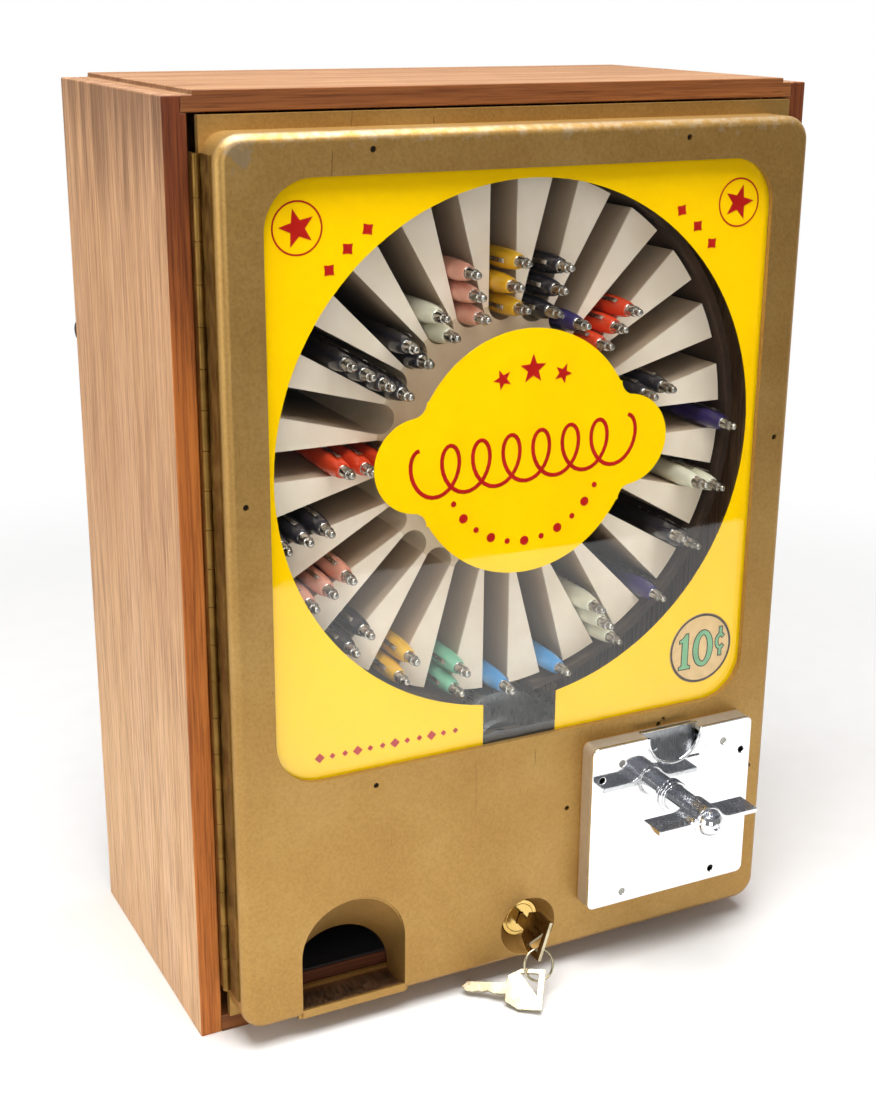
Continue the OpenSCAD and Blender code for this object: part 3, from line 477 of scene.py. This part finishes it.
# Bright, even colour under a thin clear gloss.
pen_plastic = {c: moulded(c + " pen plastic", *tones, 0.24, 20, Coat_Weight=0.3)
               for c, tones in pen_colours.items()}
print("pen colours:", ", ".join(pen_plastic))

# %% [markdown]
# ## Print and pane
# The print is solid ink behind a clear acrylic pane. Ink pressed against the pane has no shine of its own:
# the shine is the pane's. The pane lets light pass without a shadow, as a thin clear sheet nearly does.

# %% Ink and acrylic finishes
def ink(name, colour, shade, cloud_size):
    return moulded(name, colour, shade, 0.6, cloud_size, Specular_IOR_Level=0.0)


# Strong, warm and even, the colour that is seen from across a room.
yellow_ink = ink("yellow print", "#FFCE00", "#FAC800", 60)
# Deep red lines.
red_ink = ink("red print", "#B8201A", "#A61A14", 12)
# Near black outlines.
brown_ink = ink("brown print", "#3E2C16", "#30210F", 12)
# Pale, cool digits.
green_ink = ink("green print", "#7DB587", "#6CA377", 12)
# A quiet ground for the digits.
tan_ink = ink("tan print", "#E0BD86", "#D4AF76", 6)
# Clear, with a light film of dust in its reflections.
acrylic, tree, surface = blank_finish("clear acrylic", Transmission_Weight=1.0, IOR=1.49,
                                      Base_Color=tint("#FAFCFB"))
film = noise(tree, 35, 5)
haze = ramp(tree, film, 0.35, 0.75, 0, 0.05)
wire(tree, surface, Roughness=haze)
path = add(tree, "LightPath")
clear = add(tree, "BsdfTransparent")
shadowless = add(tree, "MixShader", {0: path.outputs["Is Shadow Ray"], 1: surface, 2: clear})
wire(tree, tree.nodes["Material Output"], Surface=shadowless)
print("inks:", yellow_ink.name, red_ink.name, green_ink.name, "under", acrylic.name)

# %% [markdown]
# ## Finishes on the solids
# Most solids have the right shape already and only need their finish. A table names the finish of each, and
# the loop puts it on. The others get theirs further down, with the piece that takes their place.

# %% Put the finishes on
worn_by = {
    plain_wood: ["back_panel"],
    rail_oak: ["bottom_panel"],
    sill_wood: ["delivery_sill"],
    black_iron: ["screw_eyes", "frame_studs"],
    hinge_bronze_shaded: ["hinge_door", "hinge_case"],
    yellow_ink: ["printed_panel", "medallion"],
    tan_ink: ["price_disc"],
    dark_board: ["pane_frame"],
    screw_steel: ["plate_screws"],
    pitted_chrome: ["spindle"],
    grey_zinc: ["coin_housing", "coin_wheel", "rotor"],
    chute_black: ["chute"],
    dark_steel: ["coin_chute", "coin_box", "mech_plate", "shroud_posts", "shaft_bracket", "lock_bracket",
                 "axle", "rotor_shaft", "drive_shaft", "strike_plate", "lock_cam"],
    gear_brass: ["drum_gear", "feed_gears", "drive_pinion", "bearings"],
    key_nickel: ["key_ring"],
    hub_plastic_shaded: ["drum"],
    drum_white: ["drum_fins"],
    slot_floor_shade: ["drum_disc"],
    shroud_brown: ["shroud"],
    clean_chrome: ["rotor_cap"],
}
for finish, names in worn_by.items():
    for name in names:
        nodes[name].data.materials.clear()
        nodes[name].data.materials.append(finish)
print("finished solids:", sum(len(names) for names in worn_by.values()))

# %% [markdown]
# ## Softened copies
# Sawn, cast and stamped edges are never razor sharp: they catch a thin line of light. A copy of a solid is
# merged into one skin, its flat faces are joined again, and a narrow bevel runs along every sharp edge. The
# normals are weighted by area, so that large flat faces stay flat in reflections. The copy rides where the
# solid rides and stands for it.

# %% Helpers that work on one piece
WELD = mm(0.004)


def alone(piece):
    bpy.ops.object.select_all(action="DESELECT")
    piece.select_set(True)
    bpy.context.view_layer.objects.active = piece


def dress(piece, body, slot, finish, *stands_for):
    piece.data.materials.clear()
    piece.data.materials.append(finish)
    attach(piece, body)
    if stands_for:
        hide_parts(*stands_for)


def smooth_and_even(piece, turn):
    alone(piece)
    bpy.ops.object.shade_smooth_by_angle(angle=math.radians(turn))
    even = piece.modifiers.new("even", "WEIGHTED_NORMAL")
    even.keep_sharp = True
    bpy.ops.object.modifier_apply(modifier="even")


def skin_of(node, name):
    piece = bpy.data.objects.new(name, nodes[node].data.copy())
    bpy.context.scene.collection.objects.link(piece)
    alone(piece)
    bpy.ops.mesh.customdata_custom_splitnormals_clear()
    bpy.ops.object.mode_set(mode="EDIT")
    bpy.ops.mesh.select_all(action="SELECT")
    bpy.ops.mesh.remove_doubles(threshold=WELD)
    bpy.ops.mesh.dissolve_limited(angle_limit=math.radians(0.5))
    bpy.ops.object.mode_set(mode="OBJECT")
    return piece


def softened(node, width, turn=35):
    piece = skin_of(node, "soft_" + node)
    edge = piece.modifiers.new("edge", "BEVEL")
    edge.width = mm(width)
    edge.segments = 3
    edge.limit_method = "ANGLE"
    edge.angle_limit = math.radians(turn)
    edge.use_clamp_overlap = False
    bpy.ops.object.modifier_apply(modifier="edge")
    smooth_and_even(piece, turn)
    return piece


print("helpers for single pieces ready")

# %% [markdown]
# ## Case boards
# The sides are veneered boards with darker stained solid wood along their front edges, and the top is one
# stained board. Each board gets a rounded edge, and the faces that look forward take the stained finish.

# %% Softened boards
def facing(piece, finish, axis, sign):
    piece.data.materials.append(finish)
    for face in piece.data.polygons:
        if face.normal[axis] * sign > 0.6:
            face.material_index = len(piece.data.materials) - 1


for name in ("left_side", "right_side"):
    board = softened(name, 0.9)
    dress(board, "case", "case_wood", side_oak, name)
    facing(board, edge_oak, 1, -1)
top = softened("top_panel", 0.6)
dress(top, "case", "case_wood", top_oak, "top_panel")
facing(top, rail_oak, 1, -1)
print("boards softened, top has", len(top.data.polygons), "faces")

# %% [markdown]
# ## Tools for the door
# Some forms are easiest to make as a toolmaker would: metal is added to a piece and a hollow is cut out of
# it, with a block or a cone as the tool. A boolean modifier does both, and the tool is thrown away
# afterwards.

# %% Block, cone and cut
def block(low, high):
    low, high = spot(*low), spot(*high)
    bpy.ops.object.select_all(action="DESELECT")
    bpy.ops.mesh.primitive_cube_add(size=1, location=(low + high) / 2, scale=high - low)
    bpy.ops.object.transform_apply(location=True, rotation=True, scale=True)
    return bpy.context.object


def cone(x, z, front, back, front_r, back_r):
    bpy.ops.object.select_all(action="DESELECT")
    bpy.ops.mesh.primitive_cone_add(
        vertices=96, radius1=mm(back_r), radius2=mm(front_r), depth=mm(back - front),
        location=spot(x, (front + back) / 2, z), rotation=(math.pi / 2, 0, 0))
    bpy.ops.object.transform_apply(location=True, rotation=True, scale=True)
    return bpy.context.object


def carve(piece, tool, operation):
    alone(piece)
    cut = piece.modifiers.new("cut", "BOOLEAN")
    cut.object = tool
    cut.operation = operation
    cut.solver = "EXACT"
    bpy.ops.object.modifier_apply(modifier="cut")
    alone(tool)
    bpy.ops.object.delete()


print("tools ready: block, cone, carve")

# %% [markdown]
# ## Door with its hood and lock cup
# The door is one pressed sheet. Behind the round-topped opening a hood leans inward and down and guides the
# falling pen to the hand, and the lock lies at the bottom of a dished cup. The hood is an arch that is pushed
# aslant, first with its wall and then as the hollow. The floor of the opening is bare, browned steel.

# %% Hood and cup in the door
DOOR_FOOT = 1000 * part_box("door")[0][2]
OUT_X, OUT_R, OUT_SPRING, OUT_SILL = -102.5, 30.5, 48.5, 6.8
HOOD_LEAN = math.tan(math.radians(51))
HOOD_WALL, HOOD_BACK = 2, -2.7
LOCK_X, LOCK_Z = 6, 33.5
CUP_R, CUP_END, CUP_WALL, CUP_DEPTH = 17.6, 11.5, 1.2, 10.7
CUP_BACK = DOOR_FACE + CUP_DEPTH


def hood(radius, front, back, floor):
    start, end = DOOR_FACE - 10, HOOD_BACK + 10
    arch = cone(OUT_X, OUT_SPRING, start, end, radius, radius)
    legs = block((OUT_X - radius, start, OUT_SPRING - 80), (OUT_X + radius, end, OUT_SPRING))
    carve(arch, legs, "UNION")
    for corner in arch.data.vertices:
        corner.co.z -= HOOD_LEAN * (corner.co.y - deep(DOOR_FACE))
    wide = 2 * radius
    kept = block((OUT_X - wide, front, floor), (OUT_X + wide, back, OUT_SPRING + wide))
    carve(arch, kept, "INTERSECT")
    return arch


door = skin_of("door", "door_shell")
sill = block((OUT_X - OUT_R, DOOR_FACE, DOOR_FOOT + 2), (OUT_X + OUT_R, DOOR_BACK, DOOR_FOOT + OUT_SILL))
carve(door, sill, "UNION")
carve(door, hood(OUT_R + HOOD_WALL, DOOR_FACE + 1.5, HOOD_BACK, DOOR_FOOT + 1.5), "UNION")
carve(door, hood(OUT_R, DOOR_FACE - 0.5, DOOR_BACK + 0.5, DOOR_FOOT + OUT_SILL), "DIFFERENCE")
carve(door, hood(OUT_R, DOOR_BACK, HOOD_BACK + 0.5, DOOR_FOOT + 3), "DIFFERENCE")
taper = (CUP_R - CUP_END) / CUP_DEPTH
cup = cone(LOCK_X, LOCK_Z, DOOR_FACE, CUP_BACK, CUP_R + CUP_WALL, CUP_END + CUP_WALL)
carve(door, cup, "UNION")
hollow = cone(LOCK_X, LOCK_Z, DOOR_FACE - 1, CUP_BACK + 1, CUP_R + taper, CUP_END - taper)
carve(door, hollow, "DIFFERENCE")
smooth_and_even(door, 30)
dress(door, "door", "door_paint", bronze, "door")
door.data.materials.append(browned_steel)
for face in door.data.polygons:
    x, depth, z = 1000 * face.center - Vector((OUT_X, CASE_FRONT, DOOR_FOOT))
    inside = abs(x) < OUT_R and DOOR_FACE + 0.5 < depth < HOOD_BACK + 1
    if face.normal.z > 0.9 and inside and z < OUT_SILL + 1:
        face.material_index = 1
print("door faces:", len(door.data.polygons))

# %% [markdown]
# ## Clear pane
# The pane is a clear acrylic sheet with the yellow print behind it. The visible pane is a tenth thinner than
# its solid, which leaves room for the ink motifs between it and the yellow.

# %% Acrylic pane
DRUM_Z = 313
PANE_SHARE = 0.9
pane = softened("window_pane", 0.3)
bpy.ops.object.mode_set(mode="EDIT")
bpy.ops.mesh.select_all(action="SELECT")
bpy.ops.transform.resize(value=(1, PANE_SHARE, 1), center_override=spot(0, DOOR_BACK, DRUM_Z))
bpy.ops.object.mode_set(mode="OBJECT")
dress(pane, "door", "clear_pane", acrylic, "window_pane")
faces_at = [round(1000 * pane.bound_box[i][1] - CASE_FRONT, 2) for i in (0, 6)]
print("pane front and back:", faces_at)

# %% [markdown]
# ## Ink motifs
# Screen printing lays one even film of ink. A line is a curve with a round section, made a mesh and pressed
# almost flat. A star is a filled circle of ten points, every second one pulled in, and thickened by
# extruding. A real film is thinner, but this one is thick enough to lie clear of the yellow.

# %% Ink strokes, stars and dots
INK_BACK = -20.72
INK = 0.2


def stroke(points, width, closed=False):
    line = bpy.data.curves.new("ink_line", "CURVE")
    line.dimensions = "3D"
    line.bevel_depth = mm(width / 2)
    line.bevel_resolution = 2
    line.use_fill_caps = True
    run = line.splines.new("POLY")
    run.points.add(len(points) - 1)
    run.use_cyclic_u = closed
    for point, (x, z) in zip(run.points, points):
        point.co = (*spot(x, INK_BACK - INK / 2, z), 1)
    drawn = bpy.data.objects.new("ink_line", line)
    bpy.context.scene.collection.objects.link(drawn)
    alone(drawn)
    bpy.ops.object.convert(target="MESH")
    drawn = bpy.context.object
    bpy.ops.object.mode_set(mode="EDIT")
    bpy.ops.mesh.select_all(action="SELECT")
    bpy.ops.transform.resize(value=(1, INK / width, 1), center_override=spot(0, INK_BACK - INK / 2, 0))
    bpy.ops.object.mode_set(mode="OBJECT")
    return drawn


def star(x, z, size, points=5, pull=0.42, tilt=0.0):
    bpy.ops.object.select_all(action="DESELECT")
    bpy.ops.mesh.primitive_circle_add(vertices=2 * points, radius=mm(size), fill_type="NGON",
                                      location=spot(x, INK_BACK, z), rotation=(math.pi / 2, 0, 0))
    shape = bpy.context.object
    bpy.ops.object.transform_apply(location=True, rotation=True, scale=True)
    for i, corner in enumerate(shape.data.vertices):
        arm = corner.co - spot(x, INK_BACK, z)
        reach = pull if i % 2 else 1
        corner.co = spot(x, INK_BACK, z) + Matrix.Rotation(tilt, 3, "Y") @ (arm * reach)
    bpy.ops.object.mode_set(mode="EDIT")
    bpy.ops.mesh.select_all(action="SELECT")
    bpy.ops.mesh.extrude_region_move(TRANSFORM_OT_translate={"value": (0, mm(-INK), 0)})
    bpy.ops.mesh.select_all(action="SELECT")
    bpy.ops.mesh.normals_make_consistent(inside=False)
    bpy.ops.object.mode_set(mode="OBJECT")
    return shape


def joined(name, parts):
    bpy.ops.object.select_all(action="DESELECT")
    for part in parts:
        part.select_set(True)
    bpy.context.view_layer.objects.active = parts[0]
    bpy.ops.object.join()
    parts[0].name = name
    return parts[0]


print("ink film:", INK, "mm thick")

# %% [markdown]
# The red motifs are simple ones: loops as a ballpoint scribbles them across the medallion, an arc of stars
# over them and an arc of dots below, a ringed star in each upper corner, and small marks round the window.

# %% Red motifs
LOOP_LEFT, LOOP_RUN, LOOP_BASE, LOOP_RISE = -62, 124, 308, 6
LOOP_TURNS, LOOP_WIDE, LOOP_HIGH, LOOP_STEPS = 7, 9, 13, 160
STARS_R, DOTS_R, MARKS_R = 44, 48, 150
BADGE_X, BADGE_Z, BADGE_R = 126, 435.5, 12.5


def around(x, z, radius, angle):
    return x + radius * math.sin(angle), z + radius * math.cos(angle)


loops = []
for t in [i / LOOP_STEPS for i in range(LOOP_STEPS + 1)]:
    turn = 2 * LOOP_TURNS * math.pi * t
    loops.append((LOOP_LEFT + LOOP_RUN * t - LOOP_WIDE * math.sin(turn),
                  LOOP_BASE + LOOP_RISE * t + LOOP_HIGH * math.cos(turn)))
red = [stroke(loops, 2.2)]
for angle, size in ((-24, 5.5), (0, 8), (24, 5.5)):
    a = math.radians(angle)
    red.append(star(*around(3, DRUM_Z, STARS_R, a), size, tilt=a))
for step in range(11):
    a = math.radians(180 - 62 + 12.4 * step)
    red.append(star(*around(0, DRUM_Z, DOTS_R, a), 2.6 if step % 2 else 1.6, points=6, pull=0.97))
for side in (-1, 1):
    ring = [around(side * BADGE_X, BADGE_Z, BADGE_R, 2 * math.pi * i / 48) for i in range(48)]
    red.append(stroke(ring, 0.9, closed=True))
    red.append(star(side * BADGE_X, BADGE_Z, 9.5, tilt=side * 0.25))
    for k in (-1, 0, 1):
        a = math.radians(side * (42 + 5.2 * k))
        red.append(star(*around(0, DRUM_Z, MARKS_R, a), 3.6, points=4, pull=0.62, tilt=a))
for k in range(12):
    red.append(star(-119 + 7.2 * k, 163, 1.7 if k % 3 else 2.8, points=4, pull=0.7))
red_motifs = joined("red_motifs", red)
dress(red_motifs, "door", "print_yellow", red_ink)
print("red ink pieces:", len(red), "faces:", len(red_motifs.data.polygons))

# %% [markdown]
# ## Price roundel
# The round price mark is tan with a dark ring and green digits that have a dark outline. Each digit is a
# filled outline: a fatter dark copy behind, a thinner green one in front. A curve is made a mesh before it is
# put in place.

# %% Price roundel
def ring_of(x, z, wide, high, start=0.0, end=360.0, steps=48):
    turns = [math.radians(start + (end - start) * i / steps) for i in range(steps + (end - start < 360))]
    return [(x + wide * math.cos(a), z + high * math.sin(a)) for a in turns]


def figure(outlines, grow, back, thick):
    line = bpy.data.curves.new("figure", "CURVE")
    line.dimensions = "2D"
    line.fill_mode = "BOTH"
    line.extrude = mm(thick / 2)
    line.offset = mm(grow)
    for outline in outlines:
        run = line.splines.new("POLY")
        run.points.add(len(outline) - 1)
        run.use_cyclic_u = True
        for point, (x, z) in zip(run.points, outline):
            point.co = (mm(x), mm(z), 0, 1)
    drawn = bpy.data.objects.new("figure", line)
    bpy.context.scene.collection.objects.link(drawn)
    alone(drawn)
    bpy.ops.object.convert(target="MESH")
    drawn = bpy.context.object
    drawn.location = spot(0, back - thick / 2, 0)
    drawn.rotation_euler = (math.pi / 2, 0, 0)
    bpy.ops.object.transform_apply(location=True, rotation=True, scale=True)
    return drawn


PRICE_X, PRICE_Z, PRICE_R = 118.8, 183, 20.2
ONE = [(-3.6, -10.6), (3.6, -10.6), (3.6, -9.4), (1.8, -8.4), (1.8, 10.6), (0.4, 10.6),
       (-1.2, 8.4), (-3.7, 7.0), (-3.7, 5.8), (-1.8, 6.2), (-1.8, -8.4), (-3.6, -9.4)]
one = [(PRICE_X - 10.8 + x, PRICE_Z - 0.6 + z) for x, z in ONE]
nought_x, nought_z = PRICE_X + 1.6, PRICE_Z - 0.3
nought = [ring_of(nought_x, nought_z, 6.6, 10.9), ring_of(nought_x, nought_z, 3.5, 8.4)[::-1]]
cent_x, cent_z = PRICE_X + 13.6, PRICE_Z + 2.2
cent = ring_of(cent_x, cent_z, 3.3, 4.8, 45, 315, 30) + ring_of(cent_x, cent_z, 1.7, 3.2, 45, 315, 30)[::-1]
marks = [[one], nought, [cent]]
for side in (1, -1):
    left, right = cent_x - 0.8, cent_x + 0.8
    near, far = cent_z + side * 4.4, cent_z + side * 8.6
    marks.append([[(left, near), (right, near), (right, far), (left, far)][::side]])
edge = stroke(ring_of(PRICE_X, PRICE_Z, PRICE_R, PRICE_R, steps=72), 1.3, closed=True)
brown = joined("price_outline", [edge] + [figure(mark, 0.65, INK_BACK, INK / 2) for mark in marks])
green = joined("price_digits", [figure(mark, 0, INK_BACK - INK / 2, INK / 2) for mark in marks])
dress(brown, "door", "print_tan", brown_ink)
dress(green, "door", "print_tan", green_ink)
print("price digits:", len(green.data.polygons), "faces")

# %% [markdown]
# ## Coin plate and handle
# The coin plate is polished chrome with a half-round coin notch. The handle is one chrome casting whose broad
# upper and lower faces are pitted. Both only need softer edges.

# %% Chrome coin front
plate = softened("coin_plate", 0.5)
dress(plate, "door", "chrome", plate_chrome, "coin_plate")
handle = softened("coin_handle", 0.6)
dress(handle, "handle", "chrome", clean_chrome, "coin_handle")
for side in (-1, 1):
    facing(handle, pitted_chrome, 2, side)
print("plate faces:", len(plate.data.polygons), "handle faces:", len(handle.data.polygons))

# %% [markdown]
# ## Coin notch
# A bent bead runs round the notch, a thin lip lies along its top, and behind the lip a concave zinc wall
# curves down to stop the coin. Bead and wall are each a small section that is spun round an axis.

# %% Bead, lip and wall of the notch
def spun(section, centre, axis, angle, steps):
    alone(section)
    bpy.ops.object.mode_set(mode="EDIT")
    bpy.ops.mesh.select_all(action="SELECT")
    bpy.ops.mesh.spin(steps=steps, angle=angle, center=centre, axis=axis)
    bpy.ops.mesh.select_all(action="SELECT")
    bpy.ops.mesh.remove_doubles(threshold=WELD)
    bpy.ops.mesh.normals_make_consistent(inside=False)
    bpy.ops.object.mode_set(mode="OBJECT")
    bpy.ops.object.shade_smooth_by_angle(angle=math.radians(40))


def bar(name, centre, size, rounding, segments):
    bpy.ops.object.select_all(action="DESELECT")
    bpy.ops.mesh.primitive_cube_add(size=1, location=centre, scale=[mm(s) for s in size])
    piece = bpy.context.object
    piece.name = name
    bpy.ops.object.transform_apply(location=True, rotation=True, scale=True)
    bpy.ops.object.mode_set(mode="EDIT")
    bpy.ops.mesh.select_all(action="SELECT")
    bpy.ops.mesh.bevel(offset=mm(rounding), segments=segments, affect="EDGES")
    bpy.ops.object.mode_set(mode="OBJECT")
    return piece


NOTCH_X, NOTCH_Z, NOTCH_R = 92, 142, 18
BEAD_R, BEAD_DEPTH = 1.1, -39
STOP_WIDE, STOP_THICK, STOP_BEND = 35.2, 0.5, 44
STOP_EDGE = spot(NOTCH_X, -32.7, 142.1)
STOP_CENTRE = spot(NOTCH_X, -57.5, 142.1)
bpy.ops.object.select_all(action="DESELECT")
bpy.ops.mesh.primitive_circle_add(vertices=16, radius=mm(BEAD_R), fill_type="NOTHING",
                                  location=spot(NOTCH_X - NOTCH_R, BEAD_DEPTH, NOTCH_Z))
bead = bpy.context.object
bead.name = "notch_bead"
bpy.ops.object.transform_apply(location=True, rotation=True, scale=True)
spun(bead, spot(NOTCH_X, BEAD_DEPTH, NOTCH_Z), (0, 1, 0), math.pi, 32)
dress(bead, "door", "chrome", clean_chrome)
lip = bar("notch_lip", spot(NOTCH_X, -32.4, 142.6), (39, 1.6, 0.8), 0.35, 3)
dress(lip, "door", "chrome", clean_chrome)
bpy.ops.object.select_all(action="DESELECT")
bpy.ops.mesh.primitive_plane_add(size=mm(STOP_WIDE), location=STOP_EDGE)
stop = bpy.context.object
stop.name = "coin_stop"
bpy.ops.object.transform_apply(location=True, rotation=True, scale=True)
bpy.ops.object.mode_set(mode="EDIT")
bpy.ops.mesh.select_all(action="SELECT")
bpy.ops.transform.resize(value=(1, STOP_THICK / STOP_WIDE, 1), center_override=STOP_EDGE)
bpy.ops.object.mode_set(mode="OBJECT")
spun(stop, STOP_CENTRE, (1, 0, 0), math.radians(STOP_BEND), 16)
dress(stop, "door", "housing_steel", grey_zinc)
print("notch faces:", [len(piece.data.polygons) for piece in (bead, lip, stop)])

# %% [markdown]
# ## Lock and keys
# The cylinder lock is turned brass and the keys are stamped from sheet. The spare key is bright. The key in
# the lock is painted dark brown as shade, and only the edges that look forward keep the bright nickel. All
# have narrow broken edges.

# %% Lock and keys
for name, body, slot, finish, width in (
        ("lock_barrel", "door", "lock_brass", lock_brass, 0.4),
        ("lock_plug", "lock", "lock_brass", lock_brass, 0.25),
        ("key", "key", "key_nickel", shaded_key, 0.25),
        ("spare_key", "spare", "key_nickel", key_nickel, 0.25)):
    piece = softened(name, width)
    dress(piece, body, slot, finish, name)
    # Painted shade on the key's broad faces; the faces that look forward keep the nickel.
    if name == "key":
        facing(piece, key_nickel, 1, -1)
print("lock and keys softened")

# %% [markdown]
# ## Pens
# Fifty push-button pens lie in the slots of the drum. A pen is a turned shape, so its outline is drawn as a
# chain of points and spun round its axis: once for the plastic barrel and once for the metal top. The clip is
# a thin strip. One pen is modelled and copied into every place, the clip turned to the free side of the slot.

# %% One pen
def lathe(name, outline, steps=24):
    bpy.ops.object.select_all(action="DESELECT")
    bpy.ops.mesh.primitive_plane_add(size=mm(1))
    turned = bpy.context.object
    turned.name = name
    bpy.ops.object.mode_set(mode="EDIT")
    bpy.ops.mesh.merge(type="CENTER")
    here = Vector((0, 0, 0))
    for i, (radius, depth) in enumerate(outline):
        step = Vector((mm(radius), mm(depth), 0)) - here
        if i == 0:
            bpy.ops.transform.translate(value=step)
        else:
            bpy.ops.mesh.extrude_vertices_move(TRANSFORM_OT_translate={"value": step})
        here = here + step
    bpy.ops.object.mode_set(mode="OBJECT")
    spun(turned, (0, 0, 0), (0, 1, 0), 2 * math.pi, steps)
    return turned


BARREL = [(0, 11.3), (3.1, 11.3), (3.6, 11.5), (3.9, 12.0), (4.6, 15.5), (5.2, 20.5), (5.5, 26), (5.5, 70),
          (5.35, 70.3), (5.35, 71.2), (5.5, 71.5), (5.5, 118.5), (3.4, 128), (1.3, 134), (0, 134.4)]
BUTTON = [(0, 0), (1.1, 0.12), (1.75, 0.6), (2.05, 1.4), (2.1, 4.0), (2.6, 4.2), (2.85, 4.7), (2.9, 10.9),
          (3.2, 11.2), (0, 11.4)]
barrel = lathe("pen_barrel", BARREL)
metal_top = lathe("pen_top", BUTTON)
clip = bar("pen_clip", (mm(6.1), mm(34), 0), (0.6, 34, 2.4), 0.28, 2)
metal_top = joined("pen_top", [metal_top, clip])
print("barrel faces:", len(barrel.data.polygons), "top faces:", len(metal_top.data.polygons))

# %% [markdown]
# Each row is a slot, counted clockwise from the top, with its colour, its number of pens, and whether they
# lie at the hub (1) or at the rim (-1). The pens rest on the lower wall of their slot, and in an upright slot
# on either wall in turn.

# %% Pens in their slots
ROWS = [(1, "yellow", 3, 1), (2, "black", 3, 1), (3, "navy", 1, 1), (4, "red", 3, 1), (6, "black", 3, 1),
        (7, "navy", 1, -1), (8, "cream", 2, -1), (9, "black", 2, -1), (10, "navy", 1, -1),
        (11, "cream", 3, -1), (12, "blue", 1, -1), (13, "blue", 1, -1), (14, "green", 2, -1),
        (15, "yellow", 2, -1), (16, "black", 2, -1), (17, "pink", 3, -1), (18, "black", 3, -1),
        (19, "red", 3, 1), (21, "black", 4, 1), (22, "black", 2, 1), (23, "cream", 2, 1), (24, "pink", 3, 1)]
SLOT_ANGLE = 15
PEN_FRONT, PEN_PITCH, PEN_SHIFT = -17, 12, 2.1
HUB_R, RIM_R = 73, 136.6
barrels = {colour: [] for colour in pen_colours}
tops = []
for slot_number, colour, count, place in ROWS:
    turn = math.radians((slot_number - 1) * SLOT_ANGLE)
    for k in range(count):
        radius = HUB_R + PEN_PITCH * k if place > 0 else RIM_R - PEN_PITCH * k
        lean = math.copysign(1, math.sin(turn)) if abs(math.sin(turn)) > 0.1 else 1 - 2 * (k % 2)
        to_slot = (Matrix.Translation(spot(0, PEN_FRONT, DRUM_Z)) @ Matrix.Rotation(turn, 4, "Y")
                   @ Matrix.Translation((mm(PEN_SHIFT * lean), 0, mm(radius)))
                   @ Matrix.Rotation(math.pi if lean > 0 else 0, 4, "Y"))
        for model, group in ((barrel, barrels[colour]), (metal_top, tops)):
            copy = bpy.data.objects.new("pen", model.data.copy())
            copy.data.transform(to_slot)
            bpy.context.scene.collection.objects.link(copy)
            group.append(copy)
for model in (barrel, metal_top):
    alone(model)
    bpy.ops.object.delete()
for colour, group in barrels.items():
    dress(joined("barrels_" + colour, group), "drum", "pen_" + colour, pen_plastic[colour], "pens_" + colour)
dress(joined("pen_tops", tops), "drum", "chrome", pen_steel, "pen_buttons")
print("pens:", sum(row[2] for row in ROWS))
